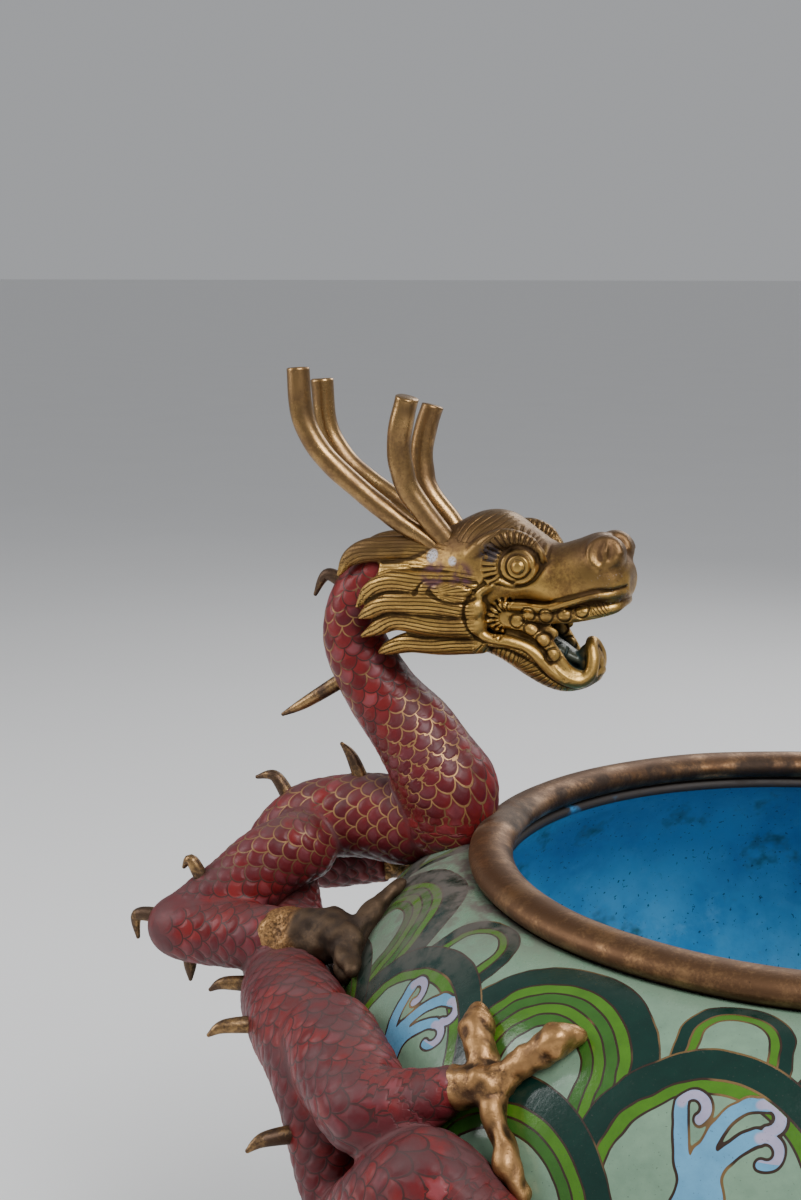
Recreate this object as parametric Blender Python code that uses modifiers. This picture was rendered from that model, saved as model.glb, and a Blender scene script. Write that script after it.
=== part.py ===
"""Cloisonne incense burner with two dragons for handles, on three short feet.

A turned copper bowl with a rolled bronze rim stands on three cast feet. Two dragons climb the bowl,
half a turn apart. Each is an enamelled trunk with four limbs, a gilt head, two forked horns of bent
rod, four gilt claws and a row of brazed spines. Metres, +Z up, origin on the floor under the middle.
"""

from math import ceil, cos, hypot, pi, radians, sin

import bmesh
import bpy
from mathutils import Matrix, Vector

# Driving dimensions of the bowl and the rim
MOUTH_RADIUS = 0.150       # outer edge of the rolled rim
RIM_WIDTH = 0.018          # of the rim's oval section, across the mouth
RIM_THICKNESS = 0.012      # of the same section, upright
BELLY_RADIUS = 0.214       # widest part of the bowl, outside
BELLY_DROP = 0.106         # from the rim's middle down to the widest part
BOWL_DEPTH = 0.242         # from the rim's middle down to the bowl's underside
WALL = 0.0035              # copper with enamel on both faces
LIP_WIDTH = 0.011          # flat seat that carries the rim
SHOULDER_FULLNESS = 1.85   # exponents of the bowl's profile; 2 is an ellipse
BASE_FULLNESS = 2.3

# Driving dimensions of the feet
FOOT_HEIGHT = 0.048        # floor to the bowl's underside
FOOT_RADIUS = 0.150        # from the bowl's axis to the middle of a foot's pad
FOOT_PAD = 0.015           # radius of the flat pad under a foot
FOOT_KNEE = 0.019          # radius of the knee under the bowl
FOOT_ANKLE = 0.0105
FOOT_COUNT = 3
FIRST_FOOT = 90.0          # degrees round the bowl from the first dragon

# Driving dimensions of the dragons; stations further down are in millimetres
HEAD_OUT = 0.050           # from the rim's outer edge out to the head's own origin
HEAD_RISE = 0.104          # from the rim's middle up to the head's own origin
HORN_ROD = 0.0049          # radius of the bent rods
SPINE_ROOT = 0.0036        # radius of a spine where it is brazed on
DRAGON_COUNT = 2

GAP = 0.0003               # kept between pieces that touch
BODY_GAP = 0.0004          # the same round the body, whose facets are uneven
WELD_REACH = 0.00001        # points nearer than this become one
BOOLEAN_TRIES = 6
HAIR = (0.000011, 0.000017, 0.000007)
MM = 0.001
BOWL_SEGMENTS = 36
PROFILE_STEPS = 6          # rings in each half of the bowl's profile
TUBE_STEP = 0.021          # between the rings of a trunk or limb
JOINED_SHARE = 0.55        # of a joined piece's triangles are kept
HEAD_SHARE = 0.45           # and of a joined head's
OBJECT_NAME = "cloisonne_incense_burner"

RIM_LEVEL = FOOT_HEIGHT + BOWL_DEPTH
SEAT_DROP = RIM_THICKNESS / 2 + GAP
NECK_RADIUS = MOUTH_RADIUS - 0.003

# Trunk, first along free stations (out from the rim's edge, across, up, radius)
NECK = [
    (22, 0, 103, 9.5), (36, 0, 104, 10.5), (48, 0, 104, 11), (57, 0, 96, 11.5), (60.5, 0, 84, 12.5),
    (58, 0, 70, 14), (46, 0, 52, 15.8), (28, -1, 31, 19), (16, -2, 13, 21.5), (15, -3, 1, 19.5),
]
ARCH = [
    (22, 3, -2, 17.5), (37, 2, -4, 19.5), (62, 0, -4, 18), (82, 0, -9, 16.5), (94, -2, -24, 17),
    (92, -9, -41, 17.5), (86, -19, -55, 18), (77, -38, -62, 18.5),
]
# and then on the bowl (degrees round, level below the rim, off the skin, radius)
COIL = [
    (15.5, -65.5, 17, 19), (22, -61, 17, 19.5), (29.5, -57.5, 15, 20), (36.5, -58.5, 15, 18.5),
    (41, -67, 13.4, 16), (44.6, -83, 11, 13.5), (48.1, -97, 10, 12.5), (54, -113, 10, 12),
    (62, -125, 9.5, 11.5), (73, -128, 9, 10), (85, -117, 8, 8.5), (95, -113, 7, 7), (106, -126, 5, 4.2),
]
# Limbs: free stations, then stations on the bowl
UPPER_ARM = [(78, -20, -14, 16), (90, -28, -21, 16), (101, -37, -31, 15.5), (116, -47, -42, 14.5), (121, -50, -45, 14)]
FOREARM = [(122, -50, -45, 14), (115, -52, -45, 14.2), (92, -55, -44, 13.8), (67, -60, -41, 13)]
HIND_LEG = [(38, -58, 13, 15), (40, -52, 15, 17.5), (51, -56, 15.5, 17), (55.5, -49, 10, 11), (58.5, -40, 6.5, 6.8)]
HAUNCH = [(50, -100, 12, 13), (55, -82, 14, 16.5), (61, -67, 15.5, 18), (66.5, -71, 12, 13.5), (71.5, -75, 8.5, 8)]

# Claws: wrist and palm, then each toe, all on the bowl; a foreleg's wrist has a free station first
FORE_PALM = [(19.2, -38, 10.5, 11), (22, -35, 6, 8.5)]
FORE_TOES = [
    [(22, -35, 6, 6.5), (19.5, -27, 4, 5), (16.8, -20, 3, 3.8), (15.5, -17, 2, 2.5)],
    [(22, -35, 6, 6.5), (25, -36.5, 5, 5), (27.5, -38, 3.5, 3.6)],
    [(21.5, -37, 6, 6.5), (23.5, -41, 4, 4.5), (25.5, -44, 2.5, 3)],
]
HIND_PALM = [(61.5, -37.5, 6, 7.5)]
HIND_TOES = [
    [(61.5, -37.5, 5, 6.5), (58.5, -30, 4.5, 5.2), (56.3, -25, 4, 6.5), (55.2, -22.5, 3, 4)],
    [(61.5, -37.5, 5, 6.5), (64.5, -28.5, 5.5, 4.8), (67, -21, 6, 6.2), (68.2, -18.5, 4, 4)],
    [(61.5, -37.5, 5, 6), (64.5, -46, 5.5, 4.2), (67, -55, 5, 4.6), (68.5, -61, 3.5, 3)],
]
HAUNCH_PALM = [(76, -78, 6, 7.5)]
HAUNCH_TOES = [
    [(76, -78, 5, 6.5), (80, -69, 5, 4.8), (83, -61, 4, 5.2)],
    [(76, -78, 5, 6.5), (82, -77, 5.5, 4.8), (87, -75, 4, 5.4)],
    [(76, -78, 5, 6), (80, -87, 5, 4.4), (83, -96, 4, 4.4)],
]

# Spines at free places (out, across, up): root, middle, tip
FREE_SPINES = [
    [(60, 0, 97), (72, 0, 103), (78, 0, 94)],
    [(58, 0, 62), (82, 0, 46), (94, 0, 39)],
    [(55, 0, 8), (61, 0, 22), (66, 0, 28)],
    [(90, 0, -2), (98, 0, 10), (107, 0, 9)],
    [(109, -44, -34), (117, -46, -17), (121, -46, -20)],
    [(130, -50, -42), (142, -50, -43), (142, -50, -53)],
    [(116, -52, -54), (116, -52, -62), (116, -52, -68)],
]
# and along the coil: the share of its length where each stands
COIL_SPINES = [0.0, 0.16, 0.34, 0.52, 0.68]
COIL_SPINE_LENGTH = 0.015

# Head sections in the head's own frame: forward, bottom, top, half width
SKULL = [
    (6, -18, 13.5, 15), (20, -22, 15.5, 18.5), (34, -24, 23, 20.5), (48, -23, 30, 21.5), (60, -15, 30, 20.5),
    (71, -10.5, 23, 18), (80, -12.5, 18, 16), (88, -13, 20, 16), (99, -11.5, 23.5, 16), (107, -8, 17, 14),
    (112, -1, 10, 8.5),
]
JAW = [
    (46, -27, -14, 16.5), (58, -31, -16, 17), (69, -38, -16.5, 16), (78, -42.5, -20, 15), (86, -43.5, -31, 14),
    (94, -41.5, -34.5, 12), (99.5, -38, -27, 8),
]
# Raised work on each side of the head (forward, out to the side, up, radius)
LOCKS = [
    [(34, 8, 13, 6), (6, 10, 13, 5.6), (-7, 10, 9, 4), (-13, 10, 1, 1)],
    [(49, 19, -2, 5), (18, 20.5, -2, 5), (2, 18, -8, 1.2)],
    [(50, 19, -9, 5), (14, 21, -9, 5), (-7, 17, -16, 1.2)],
    [(50, 18, -16, 5), (15, 19.5, -18, 5), (-2, 16, -25, 1.2)],
    [(51, 15, -21, 5), (25, 16.5, -24, 5), (6, 13, -31, 1.2)],
]
LIP = [
    (109, 12, 0, 1.8), (92, 15, -3.5, 2), (76, 17, -8, 2), (64, 19, -6.5, 2), (58, 20.5, 0.5, 2.2),
    (50.4, 20.8, -4.3, 2.6), (50, 19.5, -15, 2.4), (58, 18.5, -22, 2.4), (70, 17, -24, 2.2), (82, 15.5, -34, 2),
    (92, 13, -38, 2), (99, 8.5, -34, 1.8),
]
BROW = [(49, 17.5, 15, 2), (58, 18.5, 21.5, 3.2), (67, 17, 21.5, 3.2), (75, 15.5, 16, 2.4)]
EYE = (69.5, 16.5, 9.5, 7)
NOSTRIL = (101.5, 8.5, 18.5, 6.5)

# Horn rods in the head's own frame (forward, out to the side, up, share of the rod's radius)
LONG_ROD = [
    (34, 9, 11.5, 0.7), (29, 9.5, 16, 0.7), (11, 10.5, 27.5, 0.9), (-12, 12, 45.5, 0.95), (-23, 12.5, 57.5, 0.97),
    (-28, 13, 70, 1), (-29.5, 13, 88, 1),
]
SHORT_ROD = [
    (37, 9, 13.5, 0.9), (35, 9.5, 18, 0.9), (20, 12, 37.5, 1), (16.5, 13.5, 48, 1.02), (16, 14.5, 60, 1.02),
    (20, 16, 77, 1),
]
FAR_HORN_SHORTFALL = 0.93  # the second horn of each pair stands a little lower


def clear_scene():
    for old in list(bpy.data.objects):
        bpy.data.objects.remove(old, do_unlink=True)


def new_collection(name):
    collection = bpy.data.collections.new(name)
    bpy.context.scene.collection.children.link(collection)
    return collection


def new_material(name, colour, roughness, metallic):
    material = bpy.data.materials.new(name)
    material.use_nodes = True
    shader = material.node_tree.nodes["Principled BSDF"]
    shader.inputs["Base Color"].default_value = (*colour, 1)
    shader.inputs["Roughness"].default_value = roughness
    shader.inputs["Metallic"].default_value = metallic
    return material


clear_scene()
parts = new_collection(OBJECT_NAME)
cutters = new_collection("cutters")


def evaluated_mesh(obj):
    bpy.context.view_layer.update()
    return bpy.data.meshes.new_from_object(obj.evaluated_get(bpy.context.evaluated_depsgraph_get()))


def new_object(name, data, collection):
    obj = bpy.data.objects.new(name, data)
    collection.objects.link(obj)
    return obj


def as_cutter(obj):
    """Move an object to the cutters, shown as wire and left out of renders."""
    for collection in list(obj.users_collection):
        collection.objects.unlink(obj)
    cutters.objects.link(obj)
    obj.hide_render = True
    obj.display_type = "WIRE"
    return obj


def weld(mesh, reach):
    """Close the seams of a spun, swept or cut mesh, and drop what is left loose on it."""
    work = bmesh.new()
    work.from_mesh(mesh)
    bmesh.ops.remove_doubles(work, verts=work.verts, dist=reach)
    loose = [edge for edge in work.edges if not edge.link_faces]
    bmesh.ops.delete(work, geom=loose, context="EDGES")
    lone = [face for face in work.faces if all(edge.is_boundary for edge in face.edges)]
    bmesh.ops.delete(work, geom=lone, context="FACES")
    bmesh.ops.recalc_face_normals(work, faces=work.faces)
    closed = all(len(edge.link_faces) == 2 for edge in work.edges)
    work.to_mesh(mesh)
    work.free()
    return closed


def combine(obj, others, operation):
    """Join or cut others into obj, and leave it a plain mesh.

    Where two skins graze each other a slit can be left, so it is then done again a hair aside.
    """
    old = obj.data
    for attempt in range(BOOLEAN_TRIES):
        for other in others:
            other.location += Vector(HAIR) * attempt
            modifier = obj.modifiers.new(operation.lower(), "BOOLEAN")
            modifier.operation = operation
            modifier.object = other
            modifier.solver = "EXACT"
            modifier.use_self = operation == "UNION"
        result = evaluated_mesh(obj)
        obj.modifiers.clear()
        for other in others:
            other.location -= Vector(HAIR) * attempt
        if weld(result, WELD_REACH * (1 + attempt)):
            break
    obj.data = result
    bpy.data.meshes.remove(old)
    return obj


def join(obj, others):
    combine(obj, others, "UNION")
    for other in others:
        bpy.data.objects.remove(other, do_unlink=True)
    return obj


def lighten(obj, share):
    """Collapse a joined piece to a share of its triangles."""
    modifier = obj.modifiers.new("lighten", "DECIMATE")
    modifier.ratio = share
    modifier.use_collapse_triangulate = True
    old = obj.data
    obj.data = evaluated_mesh(obj)
    obj.modifiers.clear()
    bpy.data.meshes.remove(old)
    return obj


def grown_copy(obj, name, amount):
    """A cutter: a copy of a piece with every point moved out along its normal."""
    work = bmesh.new()
    work.from_mesh(obj.data)
    moves = [(vert, vert.normal * amount) for vert in work.verts]
    for vert, move in moves:
        vert.co += move
    mesh = bpy.data.meshes.new(name)
    work.to_mesh(mesh)
    work.free()
    return as_cutter(new_object(name, mesh, parts))


def cut(obj, others):
    return combine(obj, others, "DIFFERENCE")


def finish(obj, material):
    obj.data.materials.clear()
    obj.data.materials.append(material)
    obj.data.shade_smooth()
    obj.data.set_sharp_from_angle(angle=radians(50))
    return obj


def half_profile(offset=0.0):
    """The bowl's outer skin from the shoulder to the underside, as (radius, level) pairs."""
    shoulder = NECK_RADIUS
    rise = BELLY_DROP - RIM_THICKNESS * 0.42
    points = []
    for step in range(PROFILE_STEPS + 1):
        turn = pi / 2 * step / PROFILE_STEPS
        radius = shoulder + (BELLY_RADIUS - shoulder) * sin(turn) ** (2 / SHOULDER_FULLNESS)
        points.append((radius, rise * cos(turn) - BELLY_DROP))
    for step in range(1, PROFILE_STEPS + 1):
        turn = pi / 2 * step / PROFILE_STEPS
        radius = BELLY_RADIUS * max(cos(turn), 0.0) ** (2 / BASE_FULLNESS)
        level = -BELLY_DROP - (BOWL_DEPTH - BELLY_DROP) * sin(turn) ** (2 / BASE_FULLNESS)
        points.append((radius if step < PROFILE_STEPS else 0.0, level))
    if not offset:
        return points
    moved = []
    for index, (radius, level) in enumerate(points):
        before = points[max(index - 1, 0)]
        after = points[min(index + 1, len(points) - 1)]
        run, drop = after[0] - before[0], after[1] - before[1]
        size = hypot(run, drop)
        out = (-drop / size, run / size)
        moved.append((max(radius + out[0] * offset, 0.0), level + out[1] * offset))
    moved[-1] = (0.0, points[-1][1] - offset)
    return moved


def turned(name, profile, collection, closed=False):
    """Spin a profile, given top to bottom along its outer side, about the bowl's axis."""
    mesh = bpy.data.meshes.new(name)
    count = len(profile)
    edges = [(index, index + 1) for index in range(count - 1)]
    if closed:
        edges.append((count - 1, 0))
    mesh.from_pydata([(radius, 0, RIM_LEVEL + level) for radius, level in profile], edges, [])
    obj = new_object(name, mesh, collection)
    screw = obj.modifiers.new("spin", "SCREW")
    screw.steps = BOWL_SEGMENTS
    screw.render_steps = BOWL_SEGMENTS
    screw.use_merge_vertices = True
    screw.merge_threshold = 0.00005
    obj.data = evaluated_mesh(obj)
    obj.modifiers.clear()
    bpy.data.meshes.remove(mesh)
    weld(obj.data, WELD_REACH)
    return obj


def skin(level):
    """Radius of the bowl's outer skin at a level below the rim, and its outward direction there."""
    points = half_profile()
    level = min(max(level, points[-2][1]), points[0][1])
    for upper, lower in zip(points, points[1:]):
        if lower[1] <= level <= upper[1]:
            share = (upper[1] - level) / (upper[1] - lower[1])
            radius = upper[0] + (lower[0] - upper[0]) * share
            run, drop = lower[0] - upper[0], lower[1] - upper[1]
            return radius, (-drop / hypot(run, drop), run / hypot(run, drop))
    return points[-2][0], (1.0, 0.0)


def free_station(out, across, up, radius=0.0):
    place = Vector((-MOUTH_RADIUS - out * MM, across * MM, RIM_LEVEL + up * MM))
    return place, radius * MM


def bowl_station(degrees, level, off, radius=0.0):
    distance, outward = skin(level * MM)
    distance += off * MM * outward[0]
    turn = radians(degrees)
    up = RIM_LEVEL + level * MM + off * MM * outward[1]
    return Vector((-distance * cos(turn), -distance * sin(turn), up)), radius * MM


def head_station(forward, side, up, radius=0.0):
    place = Vector((-MOUTH_RADIUS - HEAD_OUT + forward * MM, side * MM, RIM_LEVEL + HEAD_RISE + up * MM))
    return place, radius * MM


def smooth_path(stations, step):
    """A Catmull-Rom curve through stations of (place, radius), with a ring about every step."""
    path = []
    last = len(stations) - 1
    for index in range(last):
        four = [stations[min(max(index + shift, 0), last)] for shift in (-1, 0, 1, 2)]
        span = (four[2][0] - four[1][0]).length
        rings = max(1, ceil(span / step - 0.35))
        for ring in range(rings):
            t = ring / rings
            blend = (-t**3 + 2 * t**2 - t, 3 * t**3 - 5 * t**2 + 2, -3 * t**3 + 4 * t**2 + t, t**3 - t**2)
            place = sum((four[k][0] * blend[k] for k in range(4)), Vector()) / 2
            radius = sum(four[k][1] * blend[k] for k in range(4)) / 2
            path.append((place, radius))
    path.append(stations[-1])
    return path


def round_end(path, at_start):
    """Close one end of a path with two rings of a dome."""
    ordered = path[::-1] if at_start else path
    place, radius = ordered[-1]
    way = (place - ordered[-2][0]).normalized()
    dome = [(place + way * radius * sin(turn), radius * cos(turn)) for turn in (pi / 5, pi / 2.4)]
    ordered = ordered + dome
    return ordered[::-1] if at_start else ordered


def tube(name, stations, ends="flat", sides=2, grow=0.0, step=TUBE_STEP):
    """A tube through stations of (place, radius); sides is the curve's bevel resolution."""
    path = smooth_path(stations, step)
    if ends in ("round", "round start"):
        path = round_end(path, True)
    if ends in ("round", "round end"):
        path = round_end(path, False)
    curve = bpy.data.curves.new(name, "CURVE")
    curve.dimensions = "3D"
    curve.bevel_depth = 1.0
    curve.bevel_resolution = sides
    curve.use_fill_caps = True
    spline = curve.splines.new("POLY")
    spline.points.add(len(path) - 1)
    for point, (place, radius) in zip(spline.points, path):
        point.co = (*place, 1)
        point.radius = radius + grow
    rope = new_object(name + "_curve", curve, parts)
    obj = new_object(name, evaluated_mesh(rope), parts)
    obj.matrix_world = rope.matrix_world.copy()
    bpy.data.objects.remove(rope, do_unlink=True)
    weld(obj.data, WELD_REACH)
    return obj


def loft(name, sections, sides=10):
    """A closed skin through upright oval sections of the head."""
    work = bmesh.new()
    rings = []
    for forward, bottom, top, half_width in sections:
        middle, half_height = (top + bottom) / 2, (top - bottom) / 2
        ring = []
        for side in range(sides):
            turn = 2 * pi * (side + 0.5) / sides
            place, _ = head_station(forward, half_width * cos(turn), middle + half_height * sin(turn))
            ring.append(work.verts.new(place))
        rings.append(ring)
    for ring, following in zip(rings, rings[1:]):
        for side in range(sides):
            after = (side + 1) % sides
            work.faces.new((ring[side], ring[after], following[after], following[side]))
    work.faces.new(rings[0])
    work.faces.new(rings[-1])
    bmesh.ops.recalc_face_normals(work, faces=work.faces)
    mesh = bpy.data.meshes.new(name)
    work.to_mesh(mesh)
    work.free()
    return new_object(name, mesh, parts)


def ball(name, station):
    place, radius = station
    bpy.ops.mesh.primitive_ico_sphere_add(subdivisions=2, radius=radius, location=place)
    obj = bpy.context.object
    obj.name = name
    for collection in list(obj.users_collection):
        collection.objects.unlink(obj)
    parts.objects.link(obj)
    return obj


def make_bowl():
    """The shell: outer skin down, inner skin back up, and a flat lip turned in under the rim."""
    outer = half_profile()
    inner = half_profile(-WALL)
    lip_inner = MOUTH_RADIUS - RIM_WIDTH / 2 - LIP_WIDTH / 2
    under_lip = -SEAT_DROP - WALL
    inside = [point for point in inner if point[1] < under_lip - WALL / 2]
    profile = outer + inside[::-1]
    profile += [(lip_inner, under_lip), (lip_inner, -SEAT_DROP), (lip_inner + LIP_WIDTH, -SEAT_DROP)]
    bowl = turned("bowl", profile + [outer[0]], parts)
    return bowl


def oval_profile(grow=0.0, count=8):
    middle = MOUTH_RADIUS - RIM_WIDTH / 2
    points = []
    for step in range(count):
        turn = pi / 2 - 2 * pi * step / count
        points.append((middle + (RIM_WIDTH / 2 + grow) * cos(turn), (RIM_THICKNESS / 2 + grow) * sin(turn)))
    return points


def make_rim(name="mouth_rim", grow=0.0):
    return turned(name, oval_profile(grow), parts, closed=True)


def make_feet(bowl_clearance):
    """Short cabriole feet: a knee under the bowl, an ankle and a flat pad on the floor."""
    feet = []
    knee_level = FOOT_HEIGHT + BOWL_DEPTH * 0.05
    for index in range(FOOT_COUNT):
        turn = radians(FIRST_FOOT + 360 * index / FOOT_COUNT)
        outward = Vector((-cos(turn), -sin(turn), 0))
        lift = Vector((0, 0, 1))
        stations = [
            (outward * (FOOT_RADIUS - 0.022) + lift * (knee_level + 0.016), FOOT_KNEE * 0.9),
            (outward * (FOOT_RADIUS - 0.004) + lift * knee_level, FOOT_KNEE),
            (outward * (FOOT_RADIUS + 0.003) + lift * FOOT_HEIGHT * 0.72, FOOT_KNEE * 0.8),
            (outward * FOOT_RADIUS + lift * FOOT_HEIGHT * 0.38, FOOT_ANKLE),
            (outward * FOOT_RADIUS + lift * FOOT_HEIGHT * 0.16, FOOT_PAD),
            (outward * FOOT_RADIUS, FOOT_PAD),
        ]
        foot = tube(f"foot_{index + 1}", stations, ends="round start", step=0.014)
        feet.append(cut(foot, [bowl_clearance]))
    return feet


def trunk_stations():
    return [free_station(*row) for row in ARCH] + [bowl_station(*row) for row in COIL]


def limb_stations():
    arms = {}
    for name, side in (("near", 1), ("far", -1)):
        for part, rows in (("upper_arm", UPPER_ARM), ("forearm", FOREARM)):
            arms[f"{name}_{part}"] = [free_station(out, across * side, up, radius) for out, across, up, radius in rows]
    hind = [bowl_station(*row) for row in HIND_LEG]
    haunch = [bowl_station(*row) for row in HAUNCH]
    return {**arms, "hind_leg": hind, "haunch": haunch}


def make_body(bowl_clearance, rim_clearance):
    """Neck, trunk and four limbs in one, cut back where they are brazed to the bowl and the rim."""
    neck = tube("dragon_a_body", [free_station(*row) for row in NECK], ends="round end")
    trunk = tube("trunk", trunk_stations(), ends="round")
    limbs = []
    for name, stations in limb_stations().items():
        limbs.append(tube(name, stations, ends="round start", sides=1))
    lighten(join(neck, [trunk] + limbs), JOINED_SHARE)
    clearance = grown_copy(neck, "body_clearance", BODY_GAP)
    return cut(neck, [bowl_clearance, rim_clearance]), clearance


def make_head(body_clearance):
    """Skull, jaw, mane, lips, brows, eyes and nostrils in one casting, bored for the neck."""
    head = loft("dragon_a_head", SKULL)
    pieces = [loft("jaw", JAW, sides=10)]
    for side in (-1, 1):
        def on_side(rows):
            return [head_station(forward, side * out, up, radius) for forward, out, up, radius in rows]
        for lock in LOCKS:
            pieces.append(tube("lock", on_side(lock), sides=0))
        pieces.append(tube("lip", on_side(LIP), sides=0))
        pieces.append(tube("brow", on_side(BROW), sides=0))
        pieces.append(ball("eye", on_side([EYE])[0]))
        pieces.append(ball("nostril", on_side([NOSTRIL])[0]))
    lighten(join(head, pieces), HEAD_SHARE)
    return cut(head, [body_clearance])


def horn_rods(side, height, grow=0.0):
    rods = []
    for rows in (LONG_ROD, SHORT_ROD):
        stations = []
        for forward, out, up, share in rows:
            place, _ = head_station(forward, side * out, up * (height if up > 30 else 1))
            stations.append((place, HORN_ROD * share))
        rods.append(tube("rod", stations, sides=1, grow=grow, step=0.03))
    return join(rods[0], rods[1:])


def make_horns(head):
    """Each horn is two bent rods brazed together, pegged into its own socket in the head."""
    horns = []
    for index, (side, height) in enumerate(((-1, 1.0), (1, FAR_HORN_SHORTFALL))):
        socket = as_cutter(horn_rods(side, height, grow=GAP))
        cut(head, [socket])
        horn = horn_rods(side, height)
        horn.name = f"dragon_a_horn_{index + 1}"
        horns.append(horn)
    return horns


def make_claw(index, wrist, palm, toes, clearances, mirrored=False):
    """A wrist, palm and three toes in one casting, laid on the bowl."""
    def placed(rows):
        return [bowl_station(-row[0] if mirrored else row[0], *row[1:]) for row in rows]
    claw = tube(f"dragon_a_claw_{index}", wrist + placed(palm), ends="round end", sides=1)
    fingers = [tube("toe", placed(toe), sides=0) for toe in toes]
    lighten(join(claw, fingers), JOINED_SHARE)
    return cut(claw, clearances)


def wrist_start(stations):
    """A claw's wrist starts a little inside its limb, and the body's clearance squares it off."""
    (before, _), (place, radius) = stations[-2:]
    return [(place - (place - before).normalized() * radius * 0.2, radius)]


def make_claws(clearances):
    limbs = limb_stations()
    rows = [
        ("near_forearm", FORE_PALM, FORE_TOES, False), ("far_forearm", FORE_PALM, FORE_TOES, True),
        ("hind_leg", HIND_PALM, HIND_TOES, False), ("haunch", HAUNCH_PALM, HAUNCH_TOES, False),
    ]
    claws = []
    for index, (limb, palm, toes, mirrored) in enumerate(rows, start=1):
        claws.append(make_claw(index, wrist_start(limbs[limb]), palm, toes, clearances, mirrored))
    return claws


def make_spines(body_clearance):
    """Tapered thorns, brazed on along the neck, the elbow and the coil."""
    spines = []
    for rows in FREE_SPINES:
        places = [free_station(*row)[0] for row in rows]
        spines.append(places)
    trunk = smooth_path([bowl_station(*row) for row in COIL], TUBE_STEP)
    for share in COIL_SPINES:
        place, radius = trunk[round(share * (len(trunk) - 1))]
        level_out = Vector((place.x, place.y, 0)).normalized()
        root = place + level_out * radius * 0.75
        middle = place + level_out * (radius + COIL_SPINE_LENGTH * 0.6)
        tip = place + level_out * (radius + COIL_SPINE_LENGTH) - Vector((0, 0, COIL_SPINE_LENGTH * 0.2))
        spines.append([root, middle, tip])
    made = []
    for index, places in enumerate(spines, start=1):
        radii = (SPINE_ROOT, SPINE_ROOT * 0.75, SPINE_ROOT * 0.3)
        spine = tube(f"dragon_a_spine_{index:02}", list(zip(places, radii)), sides=0, step=0.012)
        made.append(cut(spine, [body_clearance]))
    return made


def repeat_dragon(pieces):
    """Turn a copy of every piece of the first dragon about the bowl's axis."""
    for number in range(1, DRAGON_COUNT):
        letter = "ab"[number]
        turn = Matrix.Rotation(2 * pi * number / DRAGON_COUNT, 4, "Z")
        for piece in pieces:
            copy = new_object(piece.name.replace("dragon_a", f"dragon_{letter}"), piece.data, parts)
            copy.matrix_world = turn @ piece.matrix_world


def main():
    enamel = new_material("wave_enamel", (0.10, 0.22, 0.14), 0.25, 0.0)
    red = new_material("red_enamel", (0.32, 0.05, 0.05), 0.35, 0.0)
    gilt = new_material("old_gilt", (0.58, 0.40, 0.14), 0.38, 0.9)
    bronze = new_material("brown_bronze", (0.25, 0.14, 0.07), 0.4, 0.9)

    bowl_clearance = as_cutter(turned("bowl_clearance", half_profile(GAP), cutters))
    cap = bowl_clearance.data
    work = bmesh.new()
    work.from_mesh(cap)
    bmesh.ops.holes_fill(work, edges=[edge for edge in work.edges if edge.is_boundary])
    bmesh.ops.recalc_face_normals(work, faces=work.faces)
    work.to_mesh(cap)
    work.free()
    rim_clearance = as_cutter(make_rim("rim_clearance", grow=GAP))

    finish(make_bowl(), enamel)
    finish(make_rim(), bronze)
    for foot in make_feet(bowl_clearance):
        finish(foot, gilt)

    body, body_clearance = make_body(bowl_clearance, rim_clearance)
    finish(body, red)
    head = make_head(body_clearance)
    horns = make_horns(head)
    claws = make_claws([bowl_clearance, body_clearance])
    spines = make_spines(body_clearance)
    for piece in [head] + horns + claws + spines:
        finish(piece, gilt)
    repeat_dragon([body, head] + horns + claws + spines)


main()
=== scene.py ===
# %% [markdown]
# # A cloisonne incense burner with dragon handles
# The burner is a copper bowl. Thin wire is soldered on it in a pattern of waves, and the cells between
# the wires are filled with coloured glass and fired. Two dragons climb the bowl and make its handles.
# Their bodies are enamelled in red scales, and their heads, horns, claws and spines are gilt bronze.
#
# A CAD model gives every piece its true size and place. We load it first and keep its box, because
# nothing that we make here may be bigger than the real thing.

# %% Load the measured model
import math

import bpy
import numpy as np
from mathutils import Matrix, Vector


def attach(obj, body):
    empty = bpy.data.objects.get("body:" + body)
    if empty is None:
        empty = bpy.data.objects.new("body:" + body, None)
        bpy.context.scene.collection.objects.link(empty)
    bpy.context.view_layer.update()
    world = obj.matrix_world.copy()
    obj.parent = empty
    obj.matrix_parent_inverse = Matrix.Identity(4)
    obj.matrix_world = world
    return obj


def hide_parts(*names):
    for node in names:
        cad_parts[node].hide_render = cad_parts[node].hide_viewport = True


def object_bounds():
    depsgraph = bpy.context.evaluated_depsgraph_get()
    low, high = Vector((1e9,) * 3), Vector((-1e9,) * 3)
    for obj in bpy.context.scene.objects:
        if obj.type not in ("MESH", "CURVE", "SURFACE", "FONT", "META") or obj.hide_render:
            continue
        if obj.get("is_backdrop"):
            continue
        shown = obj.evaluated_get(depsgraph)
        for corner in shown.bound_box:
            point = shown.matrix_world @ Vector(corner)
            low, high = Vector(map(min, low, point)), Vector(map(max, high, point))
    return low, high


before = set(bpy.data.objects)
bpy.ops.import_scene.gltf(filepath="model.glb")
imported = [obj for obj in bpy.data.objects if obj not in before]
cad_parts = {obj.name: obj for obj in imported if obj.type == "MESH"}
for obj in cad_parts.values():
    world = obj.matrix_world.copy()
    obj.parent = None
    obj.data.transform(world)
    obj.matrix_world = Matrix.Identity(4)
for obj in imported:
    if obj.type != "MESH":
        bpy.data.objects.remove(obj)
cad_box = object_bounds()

print("measured nodes:", len(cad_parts))
print("box in mm:", [round(side * 1000) for side in cad_box[1] - cad_box[0]])

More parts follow.
